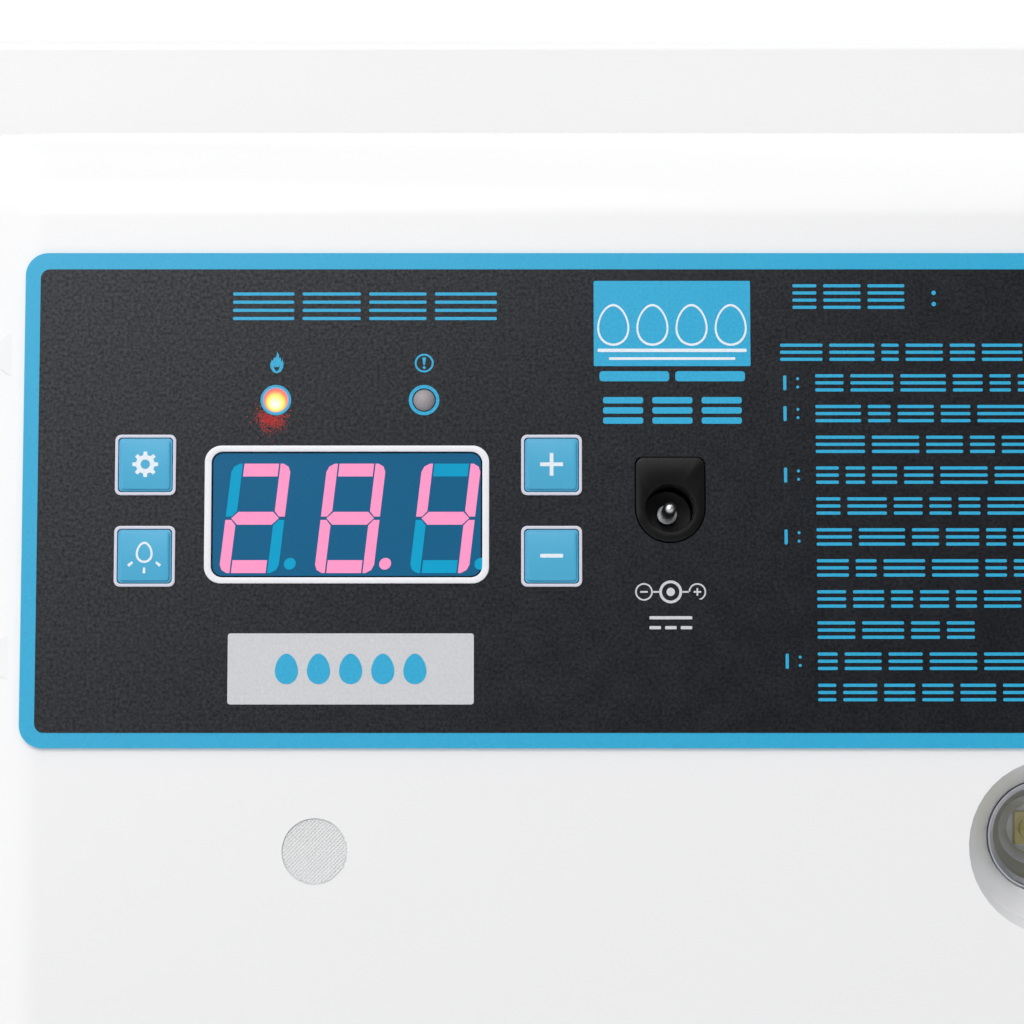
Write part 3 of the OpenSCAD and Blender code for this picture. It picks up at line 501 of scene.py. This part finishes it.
def soften(name, width):
    """Rounds a CAD piece's sharp edges a little, so that they catch the light."""
    obj = NODES[name]
    obj.modifiers.new("weld", "WELD").merge_threshold = JOIN_WITHIN
    bevel = obj.modifiers.new("edges", "BEVEL")
    bevel.width = width * MM
    bevel.segments = 3
    bevel.limit_method = "ANGLE"
    bevel.angle_limit = math.radians(EDGE_ANGLE)
    bevel.harden_normals = True
    shade_smooth(obj.data)


# --------------------------------------------------------------------------------------
# Flat shapes for print and small trim
# --------------------------------------------------------------------------------------


def arc(x, y, r, start, end, steps):
    return [(x + r * math.cos(math.radians(start + (end - start) * i / steps)),
             y + r * math.sin(math.radians(start + (end - start) * i / steps))) for i in range(steps + 1)]


def rounded(x, y, w, h, r, steps=6):
    corners = ((1, 1, 0), (-1, 1, 90), (-1, -1, 180), (1, -1, 270))
    return [p for sx, sy, turn in corners
            for p in arc(x + sx * (w / 2 - r), y + sy * (h / 2 - r), r, turn, turn + 90, steps)]


def disc(x, y, r, steps=40):
    return arc(x, y, r, 0, 360 * (steps - 1) / steps, steps - 1)


def ring(x, y, r, width):
    return [disc(x, y, r), disc(x, y, r - width)]


def egg(x, y, w, h, steps=32, taper=0.16):
    """An egg standing on its blunt end."""
    loop = []
    for i in range(steps):
        a = math.tau * i / steps
        narrow = 1 - taper * math.sin(a)
        loop.append((x + w / 2 * math.cos(a) * narrow, y + h / 2 * math.sin(a)))
    return loop


def flat_shape(name, loops, thick, lift, finish, body="housing", origin=PANEL_CENTRE):
    """One closed thin piece whose outlines are loops in mm on the panel; a loop inside another is a hole."""
    curve = bpy.data.curves.new(name, "CURVE")
    curve.dimensions = "2D"
    curve.fill_mode = "BOTH"
    curve.extrude = thick / 2 * MM
    for loop in loops:
        spline = curve.splines.new("POLY")
        spline.points.add(len(loop) - 1)
        for point, (x, y) in zip(spline.points, loop):
            point.co = (x * MM, y * MM, 0, 1)
        spline.use_cyclic_u = True
    drawn = add_object(name + "_outline", curve)
    mesh = finished(drawn)
    bpy.data.objects.remove(drawn)
    obj = add_object(name, mesh)
    weld(mesh)
    mesh.materials.clear()
    mesh.materials.append(finish)
    obj.matrix_world = face_frame(origin + FACE_OUT * (lift + thick / 2) * MM)
    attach(obj, body)
    return obj


def weld(mesh):
    """Joins a filled outline's caps to its walls, with the faces looking outwards."""
    shape = bmesh.new()
    shape.from_mesh(mesh)
    bmesh.ops.remove_doubles(shape, verts=shape.verts, dist=MICRON / 2)
    bmesh.ops.recalc_face_normals(shape, faces=shape.faces)
    shape.to_mesh(mesh)
    shape.free()


# --------------------------------------------------------------------------------------
# The printed panel
# --------------------------------------------------------------------------------------

PANEL_W = 174.0
PANEL_H = 65.5
BORDER = 2.0
BORDER_TOP = 2.2
FIELD_R = 1.2
FIELD_T = 0.05
PRINT_T = 0.03
PRINT_LIFT = FIELD_T + 0.01
KEYS = ("key_set", "key_candle", "key_plus", "key_minus")
DISPLAY = on_panel(centre("display_frame"))
DISPLAY_W = 37.4
DISPLAY_H = 18.2
DISPLAY_R = 2.2
JACK = (-1.8, -1.22)
LEDS = {"heat": (-53.75, 13.07), "alarm": (-34.2, 13.07)}
BEZEL_W = 8.0
BEZEL_R = 0.8
LED_HOLE_R = 1.62
LED_RIM_R = 1.72
# How far the field's edge runs in under the trim that stands round a hole
TUCK = 0.02
ICON_Y = 18.0
STROKE = 0.42


def print_field():
    """The black field inside the blue border, cut round everything that comes through it."""
    w = PANEL_W - 2 * BORDER
    h = PANEL_H - BORDER - BORDER_TOP
    loops = [rounded(0, (BORDER - BORDER_TOP) / 2, w, h, FIELD_R)]
    loops += [rounded(*on_panel(centre(key)), BEZEL_W - TUCK, BEZEL_W - TUCK, BEZEL_R) for key in KEYS]
    loops.append(rounded(*DISPLAY, DISPLAY_W - TUCK, DISPLAY_H - TUCK, DISPLAY_R))
    loops += [disc(*spot, LED_HOLE_R) for spot in LEDS.values()]
    loops.append(jack_outline(half=4.68, top=6.78, r=1.05))
    flat_shape("panel_field", loops, FIELD_T, 0, PRINT["field"])


def jack_outline(half, top, r):
    """The socket's plan: round below, with two small corners above."""
    x, y = JACK
    return [*arc(x, y, half, 180, 360, 24), *arc(x + half - r, y + top - r, r, 0, 90, 5),
            *arc(x - half + r, y + top - r, r, 90, 180, 5)]


def print_on_panel(name, loops, finish):
    return flat_shape(name, loops, PRINT_T, PRINT_LIFT, PRINT[finish])


def print_on_top(name, loops, finish):
    """Print that lies on other print."""
    flat_shape(name, loops, PRINT_T, PRINT_LIFT + PRINT_T, PRINT[finish])


def bars(x0, x1, y, height, rows):
    """One greeked word: thin rounded bars stacked to a word's height."""
    pitch = (height - STROKE) / (rows - 1)
    middle = (rows - 1) / 2
    return [rounded((x0 + x1) / 2, y + (row - middle) * pitch, x1 - x0, STROKE, STROKE * 0.4, 3)
            for row in range(rows)]


def greeked(x0, x1, y, height=2.3, rows=3, gap=0.9, shortest=2.3, longest=6.5):
    """A greeked line: words of mixed length from x0 to x1."""
    loops = []
    x = x0
    while x < x1 - shortest:
        length = min(random.uniform(shortest, longest), x1 - x)
        loops += bars(x, x + length, y, height, rows)
        x += length + gap
    return loops


# Half of a flame's height and width are 1; the points go round it from its foot, tongue by tongue
FLAME = ((0.0, -1.0), (0.55, -0.88), (0.92, -0.5), (0.98, -0.1), (0.8, 0.32), (0.72, 0.02), (0.6, 0.16),
         (0.58, 0.48), (0.36, 0.36), (0.3, 0.68), (0.02, 1.0), (-0.02, 0.62), (-0.3, 0.34), (-0.42, 0.5),
         (-0.6, 0.12), (-0.74, 0.26), (-0.96, -0.14), (-0.92, -0.52), (-0.55, -0.88))
FLAME_NOTCH = ((0.0, -0.86), (0.36, -0.6), (0.42, -0.3), (0.16, -0.48), (0.0, -0.36), (-0.16, -0.48),
               (-0.42, -0.3), (-0.36, -0.6))


def flame(x, y, w, h):
    """A flame of several tongues, with a small flame cut from its foot."""
    return [[(x + px * w / 2, y + py * h / 2) for px, py in outline] for outline in (FLAME, FLAME_NOTCH)]


def warning_mark(x, y):
    """A round sign with a tapered stroke over a dot."""
    foot = y - 0.25
    head = y + 0.75
    stroke = [(x - 0.12, foot), (x + 0.12, foot), (x + 0.24, head), (x - 0.24, head)]
    return [*ring(x, y, 1.25, 0.25), stroke, disc(x, y - 0.6, 0.19, 16)]


def print_icons():
    """The heat and alarm signs, and a ring round each lamp."""
    loops = flame(LEDS["heat"][0] + 0.1, ICON_Y + 0.1, 1.8, 2.9)
    loops += warning_mark(LEDS["alarm"][0], ICON_Y)
    for spot in LEDS.values():
        loops += ring(*spot, LED_RIM_R + 0.3, 0.3)
    print_on_panel("panel_icons", loops, "blue")
    # The heat lamp's rim is a painted highlight that glows; the alarm lamp's rim is plain blue print.
    print_on_panel("heat_rim_painted_highlight", ring(*LEDS["heat"], LED_RIM_R, 0.16), "heat_rim_painted_highlight")
    print_on_panel("spare_rim", ring(*LEDS["alarm"], LED_RIM_R, 0.16), "blue")


def print_title():
    """Four greeked words across the top."""
    loops = []
    for left, right in ((-59.5, -51.4), (-50.3, -42.6), (-41.5, -33.9), (-32.8, -24.6)):
        loops += bars(left, right, y=25.6, height=3.7, rows=4)
    print_on_panel("panel_title", loops, "blue")


def print_tips():
    """The greeked column of advice: a heading, then twelve lines, five of them numbered."""
    heading_y = 26.9
    left = 12.8
    indent = 17.4
    right = 80.0
    ragged = 9.0
    top_y = 19.45
    pitch = 4.085
    numbered = (1, 2, 4, 6, 10)
    short_line = 9
    short_end = 38.0
    loops = greeked(14.5, 31.5, heading_y, height=3.3, rows=4, longest=5.0)
    loops += [disc(33.2, heading_y + 0.5, 0.3, 16), disc(33.2, heading_y - 1.0, 0.3, 16)]
    for line in range(12):
        y = top_y - line * pitch
        if line in numbered:
            loops.append(rounded(left + 0.6, y, STROKE, 2.0, STROKE * 0.4, 3))
            loops += [disc(left + 2.3, y + side * 0.55, 0.2, 12) for side in (1, -1)]
        start = indent if line > 0 else left
        end = short_end if line == short_line else right - random.uniform(0, ragged)
        loops += greeked(start, end, y)
    print_on_panel("panel_tips", loops, "blue")


def print_emblem():
    """A plain blue block with a row of eggs on a tray, and greeked words below it."""
    x, y = -1.45, 23.3
    w, h = 20.7, 11.4
    eggs = 4
    print_on_panel("emblem_block", [rounded(x, y, w, h, 0.15, 3)], "blue")
    lines = []
    for i in range(eggs):
        egg_x = x - w / 2 + w * (i + 0.5) / eggs
        lines += [egg(egg_x, y - 0.2, 4.2, 5.6), egg(egg_x, y - 0.2, 3.7, 5.0)]
    lines += [rounded(x, y - 3.6, w - 1.0, 0.45, 0.15, 3), rounded(x, y - 4.7, w - 4.0, 0.35, 0.12, 3)]
    print_on_top("emblem_eggs", lines, "white")
    upper_y = 16.25
    lower_y = 11.7
    words = [rounded(x + side * 5.0, upper_y, 9.2, 1.35, 0.4, 4) for side in (-1, 1)]
    for word in (-1, 0, 1):
        words += [rounded(x + word * 6.5, lower_y + row * 1.35, 5.3, 0.85, 0.3, 4) for row in (-1, 0, 1)]
    print_on_panel("emblem_words", words, "blue")


def print_label():
    """A pale plate with a row of five eggs."""
    x, y = -43.7, -22.4
    print_on_panel("label_plate", [rounded(x, y, 32.2, 9.3, 0.35, 4)], "grey")
    egg_pitch = 4.2
    print_on_top("label_eggs", [egg(x + egg_pitch * i, y, 3.0, 4.0) for i in (-2, -1, 0, 1, 2)], "blue")


def print_supply_mark():
    """The usual marks for a direct-current socket: polarity above, a line over three dashes below."""
    x, y = JACK[0], -12.3
    line_y = y - 3.4
    dash_y = y - 4.7
    sign_off = 3.5
    thin = 0.22
    loops = [*ring(x, y, 1.5, 0.35), disc(x, y, 0.55, 24)]
    for side in (-1, 1):
        sign_x = x + side * sign_off
        loops += ring(sign_x, y, 1.15, 0.2)
        loops += [rounded(x + side * 1.95, y, 0.85, thin, 0.05, 2), rounded(sign_x, y, 1.0, thin, 0.05, 2)]
    loops += [rounded(x + sign_off, y + side * 0.31, thin, 0.38, 0.05, 2) for side in (1, -1)]
    loops.append(rounded(x, line_y, 5.6, STROKE, 0.1, 3))
    loops += [rounded(x + i * 2.05, dash_y, 1.5, STROKE, 0.1, 3) for i in (-1, 0, 1)]
    print_on_panel("supply_mark", loops, "grey")


# Painted reflection of the heat lamp on the film: the number of glowing specks, their offset and spread, and the
# clear ring round the lamp
GLOW_SPECKS = 760
GLOW_OFF = (-0.55, -2.35)
GLOW_SPREAD = (0.95, 0.85)
GLOW_CLEAR_R = 2.1


def print_painted_glint():
    """Painted reflection of the lit heat lamp: glowing red specks on the film's grain beside and below it,
    standing in for the lamp's light.
    """
    x, y = LEDS["heat"]
    loops = []
    while len(loops) < GLOW_SPECKS:
        px = x + GLOW_OFF[0] + random.gauss(0, GLOW_SPREAD[0])
        py = y + GLOW_OFF[1] + random.gauss(0, GLOW_SPREAD[1])
        if math.hypot(px - x, py - y) > GLOW_CLEAR_R:
            loops.append(disc(px, py, random.uniform(0.03, 0.075), 7))
    fill_specks(print_on_panel("painted_lamp_glint", loops[:1], "painted_red_glint"), loops)


def fill_specks(obj, loops):
    """Separate little prisms, so that specks that cross don't cut each other out."""
    shape = bmesh.new()
    for loop in loops:
        top = [shape.verts.new((x * MM, y * MM, PRINT_T / 2 * MM)) for x, y in loop]
        low = [shape.verts.new((x * MM, y * MM, -PRINT_T / 2 * MM)) for x, y in loop]
        shape.faces.new(top)
        shape.faces.new(list(reversed(low)))
        for i in range(len(loop)):
            j = (i + 1) % len(loop)
            shape.faces.new((low[i], low[j], top[j], top[i]))
    bmesh.ops.recalc_face_normals(shape, faces=shape.faces)
    shape.to_mesh(obj.data)
    shape.free()


# --------------------------------------------------------------------------------------
# Display digits and key symbols
# --------------------------------------------------------------------------------------

DIGIT_H = 14.45
DIGIT_W = 7.75
UPRIGHT_T = 1.4
BAR_T = 1.7
GAP = 0.2
DIGIT_T = 0.04
DIGITS_LIFT = 0.95
SLANT = math.tan(math.radians(6.6))
LIT = {"2": "abged", "8": "abcdefg", "4": "fgbc"}
READING = "284"
DIGIT_PITCH = 12.5
DIGITS_OFF = (0.45, -0.5)
POINT_AFTER = 1


def upright(side, rise):
    """A side segment: its outer end is rounded and its inner end is cut to clear the middle bar."""
    outer = DIGIT_W / 2
    inner = outer - UPRIGHT_T
    top = DIGIT_H / 2
    low = 0.22
    loop = [(inner, 0.95), (inner + 0.62, low), (outer, low), (outer, top - 1.1), (outer - 0.3, top - 0.4),
            (outer - 1.0, top), (inner, top)]
    return [(side * x, rise * y) for x, y in loop]


def end_bar(rise):
    half = DIGIT_W / 2 - UPRIGHT_T - GAP
    return [(x, rise * y) for x, y in ((-half, DIGIT_H / 2 - BAR_T), (half, DIGIT_H / 2 - BAR_T),
                                       (half, DIGIT_H / 2), (-half, DIGIT_H / 2))]


def middle_bar():
    tip = DIGIT_W / 2 - 0.75
    half = BAR_T / 2
    flat = tip - half
    return [(-tip, 0), (-flat, half), (flat, half), (tip, 0), (flat, -half), (-flat, -half)]


SEGMENTS = {"a": end_bar(1), "b": upright(1, 1), "c": upright(1, -1), "d": end_bar(-1), "e": upright(-1, -1),
            "f": upright(-1, 1), "g": middle_bar()}
POINT = disc(5.3, -6.0, 0.78, 24)


def slanted(loop, x, y):
    return [(x + px + SLANT * py, y + py) for px, py in loop]


def show_reading():
    """Three digits behind the window, with the point after the second one lit."""
    lit = []
    unlit = []
    for place, digit in enumerate(READING):
        x = DIGITS_OFF[0] + (place - 1) * DIGIT_PITCH
        for name, loop in SEGMENTS.items():
            (lit if name in LIT[digit] else unlit).append(slanted(loop, x, DIGITS_OFF[1]))
        (lit if place == POINT_AFTER else unlit).append(slanted(POINT, x, DIGITS_OFF[1]))
    face = centre("display_window") + FACE_OUT * DIGITS_LIFT * MM
    for name, loops, finish in (("digits_lit", lit, "lit"), ("digits_unlit", unlit, "unlit")):
        flat_shape(name, loops, DIGIT_T, 0, PRINT[finish], origin=face)


def gear_symbol():
    teeth = 8
    root_r = 1.25
    tip_r = 1.7
    hub_r = 0.62
    outline = []
    for i in range(teeth):
        for r, turn in ((root_r, -13), (tip_r, -8), (tip_r, 8), (root_r, 13)):
            a = math.radians(360 / teeth * i + turn)
            outline.append((r * math.cos(a), r * math.sin(a)))
    return [outline, disc(0, 0, hub_r, 24)]


def candling_symbol():
    """An egg with three rays below it."""
    y = 0.45
    down = 270
    half_ray = 4
    loops = [egg(0, y, 2.2, 2.8), egg(0, y, 1.65, 2.2)]
    for angle in (-50, 0, 50):
        way = down + angle
        near = arc(0, y, 2.0, way - half_ray, way + half_ray, 2)
        far = arc(0, y, 2.75, way + half_ray, way - half_ray, 2)
        loops.append(near + far)
    return loops


def plus_symbol():
    a = SIGN_W / 2
    b = SIGN_T / 2
    return [[(-a, -b), (-b, -b), (-b, -a), (b, -a), (b, -b), (a, -b),
             (a, b), (b, b), (b, a), (-b, a), (-b, b), (-a, b)]]


def minus_symbol():
    return [rounded(0, 0, SIGN_W, SIGN_T, 0.12, 3)]


SIGN_W = 3.0
SIGN_T = 0.5
KEY_SYMBOLS = {"key_set": gear_symbol, "key_candle": candling_symbol, "key_plus": plus_symbol,
               "key_minus": minus_symbol}
CAP_PROUD = 1.2
SYMBOL_LIFT = 0.002


def print_keys():
    for key, symbol in KEY_SYMBOLS.items():
        top = off_panel(*on_panel(centre(key)), CAP_PROUD - OVERLAY_T)
        flat_shape(key + "_symbol", symbol(), PRINT_T, SYMBOL_LIFT, PRINT["white"], body=key,
                   origin=top)


# --------------------------------------------------------------------------------------
# Vent screen
# --------------------------------------------------------------------------------------


SCREEN_LIFT = 0.25
FILTER_T = 0.3
FILTER_LIFT = -0.1


def vent_screen():
    """A woven screen set at 45 degrees, in front of a pale filter disc."""
    r = 4.2
    pitch = 0.36
    wire = 0.1
    steps = 30
    end_gap = 0.05
    shape = bmesh.new()
    count = int(r / pitch)
    for turn, phase in ((45, 0.5), (135, -0.5)):
        c, s = math.cos(math.radians(turn)), math.sin(math.radians(turn))
        for i in range(-count, count + 1):
            off = i * pitch
            half = math.sqrt(r * r - off * off) - end_gap
            if half < pitch:
                continue
            path = []
            for k in range(steps + 1):
                t = -half + 2 * half * k / steps
                lift = wire * 0.9 * math.sin(math.pi * (t / pitch + i + phase))
                path.append(Vector((t * c - off * s, t * s + off * c, lift)))
            sweep_wire(shape, path, wire)
    mesh = mesh_from(shape, "vent_screen")
    shade_smooth(mesh)
    mesh.materials.append(FINISHES["vent_grey"])
    obj = add_object("vent_screen", mesh)
    middle = centre("vent_mesh")
    obj.matrix_world = face_frame(middle + FACE_OUT * SCREEN_LIFT * MM)
    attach(obj, "housing")
    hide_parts("vent_mesh")
    filter_disc = disc(0, 0, r + 0.08, 48)
    flat_shape("vent_filter", [filter_disc], FILTER_T, FILTER_LIFT, FINISHES["vent_grey"],
               origin=middle)


def sweep_wire(shape, path, r, sides=5):
    """A closed wire of this radius along a path in mm."""
    rings = []
    for i, point in enumerate(path):
        along = (path[min(i + 1, len(path) - 1)] - path[max(i - 1, 0)]).normalized()
        across = along.cross(Vector((0, 0, 1))).normalized()
        up = across.cross(along)
        ring = []
        for k in range(sides):
            a = math.tau * k / sides
            ring.append(shape.verts.new((point + (across * math.cos(a) + up * math.sin(a)) * r) * MM))
        rings.append(ring)
    for low, high in zip(rings, rings[1:]):
        for k in range(sides):
            shape.faces.new((low[k], low[(k + 1) % sides], high[(k + 1) % sides], high[k]))
    shape.faces.new(rings[0])
    shape.faces.new(list(reversed(rings[-1])))


# --------------------------------------------------------------------------------------
# Soft goods
# --------------------------------------------------------------------------------------


def corners(node):
    """The low and high corners of a node's box, in metres."""
    low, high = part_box(node)
    return Vector(low), Vector(high)


def soft_block(name, node, inset, corner):
    """A rounded slab that keeps this inset inside the CAD solid."""
    low, high = corners(node)
    middle = (low + high) / 2
    size = (high - low) / MM
    outline = rounded(0, 0, size.x - 2 * inset, size.y - 2 * inset, corner, 8)
    shape = bmesh.new()
    lower = [shape.verts.new((middle.x + x * MM, middle.y + y * MM, low.z + inset * MM)) for x, y in outline]
    grown = bmesh.ops.extrude_face_region(shape, geom=[shape.faces.new(lower)])
    verts = [v for v in grown["geom"] if isinstance(v, bmesh.types.BMVert)]
    bmesh.ops.translate(shape, verts=verts, vec=(0, 0, (size.z - 2 * inset) * MM))
    return add_object(name, mesh_from(shape, name))


def cut_round(obj, x, y, r):
    """Cuts a round hole down through the object, in metres."""
    bpy.ops.mesh.primitive_cylinder_add(vertices=48, radius=r, depth=0.2, location=(x, y, 0.05))
    cutter = bpy.context.object
    cut = obj.modifiers.new("notch", "BOOLEAN")
    cut.operation = "DIFFERENCE"
    cut.object = cutter
    apply_modifiers(obj)
    bpy.data.objects.remove(cutter)


def apply_modifiers(obj):
    done = finished(obj)
    obj.modifiers.clear()
    obj.data = done


def remesh(obj, voxel):
    step = obj.modifiers.new("remesh", "REMESH")
    step.mode = "VOXEL"
    step.voxel_size = voxel * MM
    apply_modifiers(obj)


def subdivide(obj):
    step = obj.modifiers.new("finer", "SUBSURF")
    step.levels = 1
    step.render_levels = 1
    apply_modifiers(obj)


def inflate(obj, pressure, frames, cap):
    """Runs a short pressurised cloth simulation and applies it, with each point's travel capped."""
    start = [v.co.copy() for v in obj.data.vertices]
    cloth = obj.modifiers.new("cloth", "CLOTH")
    cloth.settings.use_pressure = True
    cloth.settings.uniform_pressure_force = pressure
    cloth.settings.effector_weights.gravity = 0
    cloth.settings.quality = 5
    scene = bpy.context.scene
    for number in range(1, frames + 1):
        scene.frame_set(number)
    apply_modifiers(obj)
    scene.frame_set(1)
    for v, home in zip(obj.data.vertices, start):
        travel = v.co - home
        if travel.length > cap * MM:
            v.co = home + travel.normalized() * cap * MM


def keep_inside(obj, node):
    """Draws stray points back inside the node's box."""
    margin = 0.2 * MM
    low, high = corners(node)
    for v in obj.data.vertices:
        for axis in range(3):
            v.co[axis] = min(max(v.co[axis], low[axis] + margin), high[axis] - margin)


def finish_soft(obj, node, slot):
    obj.data.materials.clear()
    obj.data.materials.append(FINISHES[slot])
    shade_smooth(obj.data)
    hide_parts(node)
    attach(obj, "housing")


def nearest_line(value, start, pitch):
    """Distance from the nearest of a row of lines."""
    share = (value - start) / pitch
    return abs(share - round(share)) * pitch


PRESSURE = 3.0
QUILT_COLUMNS = 6
QUILT_ROWS = 8
CAP_HOLE_R = 16.5
STITCHES_CLEAR_R = 22.0


def insulating_quilt():
    """A padded cloth with sewn channels both ways, cut round the filler cap."""
    cap = centre("filler_cap")
    low, high = corners("insulating_quilt")
    obj = soft_block("quilted_cover", "insulating_quilt", inset=2.2, corner=16)
    cut_round(obj, cap.x, cap.y, CAP_HOLE_R * MM)
    remesh(obj, voxel=4.2)
    inflate(obj, PRESSURE, frames=14, cap=5)
    pitch_x = (high.x - low.x) / QUILT_COLUMNS
    pitch_y = (high.y - low.y) / QUILT_ROWS
    middle_z = (low.z + high.z) / 2
    channel = 10.5 * MM
    pinch = 0.62
    for v in obj.data.vertices:
        near = min(nearest_line(v.co.x, low.x, pitch_x), nearest_line(v.co.y, low.y, pitch_y))
        sunk = max(0.0, 1 - near / channel)
        v.co.z = middle_z + (v.co.z - middle_z) * (1 - pinch * sunk * sunk)
    keep_inside(obj, "insulating_quilt")
    subdivide(obj)
    finish_soft(obj, "insulating_quilt", "quilt_fabric")
    sew_quilt(obj, low, high, pitch_x, pitch_y, cap)


def sew_quilt(cloth, low, high, pitch_x, pitch_y, cap):
    """Thread stitches that lie along the channels, on the cloth's own surface."""
    thread = 0.3 * MM
    stitch = 4.2 * MM
    gap = 2.2 * MM
    hem = 6 * MM
    above = high.z + 10 * MM
    shape = bmesh.new()
    bpy.context.view_layer.update()

    def lay(a, b):
        steps = 4
        path = []
        for k in range(steps + 1):
            spot = a.lerp(b, k / steps)
            hit, place, _, _ = cloth.ray_cast(Vector((spot.x, spot.y, above)), Vector((0, 0, -1)))
            if not hit:
                return
            path.append(Vector((place.x, place.y, place.z + thread * math.sin(math.pi * k / steps))) / MM)
        sweep_wire(shape, path, thread / MM, 6)

    def row(start, end):
        along = (end - start).normalized()
        at = hem
        while at + stitch < (end - start).length - hem:
            a = start + along * at
            if math.hypot(a.x - cap.x, a.y - cap.y) > STITCHES_CLEAR_R * MM:
                lay(a, a + along * stitch)
            at += stitch + gap

    for i in range(1, QUILT_COLUMNS):
        x = low.x + i * pitch_x
        row(Vector((x, low.y, 0)), Vector((x, high.y, 0)))
    for i in range(1, QUILT_ROWS):
        y = low.y + i * pitch_y
        row(Vector((low.x, y, 0)), Vector((high.x, y, 0)))
    mesh = mesh_from(shape, "quilt_stitches")
    mesh.materials.append(FINISHES["quilt_thread"])
    shade_smooth(mesh)
    obj = add_object("quilt_stitches", mesh)
    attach(obj, "housing")


def water_bed():
    """A vinyl bag of water, dimpled where its faces are welded together in spots."""
    low, high = corners("water_bed")
    middle = (low + high) / 2
    obj = soft_block("water_bag", "water_bed", inset=2.8, corner=17)
    remesh(obj, voxel=5)
    inflate(obj, PRESSURE, frames=12, cap=4)
    columns, rows = 4, 5
    pitch_x = (high.x - low.x) / columns
    pitch_y = (high.y - low.y) / rows
    dimple_r = 11 * MM
    pinch = 0.45
    for v in obj.data.vertices:
        off_x = nearest_line(v.co.x, low.x + pitch_x / 2, pitch_x)
        off_y = nearest_line(v.co.y, low.y + pitch_y / 2, pitch_y)
        dimple = math.exp(-(off_x ** 2 + off_y ** 2) / (2 * dimple_r ** 2))
        v.co.z = middle.z + (v.co.z - middle.z) * (1 - pinch * dimple)
    keep_inside(obj, "water_bed")
    subdivide(obj)
    finish_soft(obj, "water_bed", "water_vinyl")


# --------------------------------------------------------------------------------------
# Camera, light and floor
# --------------------------------------------------------------------------------------

CAMERA_X = -0.0226
CAMERA_Z = 0.090
CAMERA_AWAY = 0.430
LENS = 115.0
SENSOR_W = 36.0
ROOM_BRIGHT_WAY = (-0.65, 0.0, 0.76)
# How bright the room is, as a share of its power, by how far a direction points the bright way
ROOM_LEVELS = ((0.12, 0.11), (0.27, 1.0), (0.5, 1.0), (0.8, 0.5))
ROOM_POWER = 1.42
BACKDROP_POWER = 1.05
KEY_POWER = 6.55
KEY_PLACE = (-0.42, -1.25, 1.0)
KEY_SIZE = 0.8
TOP_POWER = 0.3
TOP_PLACE = (-0.1, -0.3, 1.5)
TOP_SIZE = 1.2
FLOOR_HALF = 3.0


def set_camera():
    """A level camera, this far out from the panel at its own height."""
    data = bpy.data.cameras.new("photo_view")
    data.lens = LENS
    data.sensor_width = SENSOR_W
    camera = add_object("photo_view", data)
    face_y = PANEL_CENTRE.y + (CAMERA_Z - PANEL_CENTRE.z) * FACE_UP.y / FACE_UP.z
    camera.location = (CAMERA_X, face_y - CAMERA_AWAY, CAMERA_Z)
    camera.rotation_euler = (math.radians(90), 0, 0)
    bpy.context.scene.camera = camera


def area_light(name, place, target, size, power):
    data = bpy.data.lights.new(name, "AREA")
    data.shape = "DISK"
    data.size = size
    data.energy = power
    lamp = add_object(name, data)
    lamp.location = place
    lamp.rotation_euler = (Vector(target) - Vector(place)).to_track_quat("-Z", "Y").to_euler()


def set_light():
    """A pale room, brightest up on the left and plain white behind the part, with two soft lights above."""
    world = bpy.data.worlds.new("studio")
    bpy.context.scene.world = world
    world.use_nodes = True
    tree = world.node_tree
    link = tree.links.new
    room = tree.nodes["Background"]
    room.inputs["Strength"].default_value = ROOM_POWER
    coords = tree.nodes.new("ShaderNodeTexCoord")
    facing = tree.nodes.new("ShaderNodeVectorMath")
    facing.operation = "DOT_PRODUCT"
    facing.inputs[1].default_value = Vector(ROOM_BRIGHT_WAY).normalized()
    level = tree.nodes.new("ShaderNodeValToRGB")
    level.color_ramp.interpolation = "EASE"
    spots = level.color_ramp.elements
    for _ in ROOM_LEVELS[2:]:
        spots.new(0.5)
    for spot, (toward, share) in zip(spots, ROOM_LEVELS):
        spot.position = toward
        spot.color = (share, share, share, 1)
    link(coords.outputs["Generated"], facing.inputs[0])
    link(facing.outputs["Value"], level.inputs["Fac"])
    link(level.outputs["Color"], room.inputs["Color"])
    backdrop = tree.nodes.new("ShaderNodeBackground")
    backdrop.inputs["Color"].default_value = (1, 1, 1, 1)
    backdrop.inputs["Strength"].default_value = BACKDROP_POWER
    seen = tree.nodes.new("ShaderNodeLightPath")
    choose = tree.nodes.new("ShaderNodeMixShader")
    link(seen.outputs["Is Camera Ray"], choose.inputs["Fac"])
    link(room.outputs["Background"], choose.inputs[1])
    link(backdrop.outputs["Background"], choose.inputs[2])
    link(choose.outputs["Shader"], tree.nodes["World Output"].inputs["Surface"])
    area_light("key_light", KEY_PLACE, (0, -0.2, 0.1), KEY_SIZE, KEY_POWER)
    area_light("top_light", TOP_PLACE, (0, -0.1, 0.1), TOP_SIZE, TOP_POWER)


def set_floor():
    mesh = bpy.data.meshes.new("floor")
    corner_signs = ((-1, -1), (1, -1), (1, 1), (-1, 1))
    mesh.from_pydata([(x * FLOOR_HALF, y * FLOOR_HALF, 0) for x, y in corner_signs], [], [(0, 1, 2, 3)])
    mesh.materials.append(moulded("floor_card", (0.66, 0.66, 0.665), rough=(0.7, 0.85), grain=400))
    add_object("floor", mesh)


set_camera()
set_light()
set_floor()
bpy.context.scene.view_settings.view_transform = "Standard"

paint_nodes()
for name in FACETED:
    smooth_faceted(name)
for name, width in EDGE_ROUNDING.items():
    soften(name, width)

print_field()
print_icons()
print_title()
print_tips()
print_emblem()
print_label()
print_supply_mark()
print_painted_glint()
print_keys()
show_reading()
vent_screen()
water_bed()
insulating_quilt()
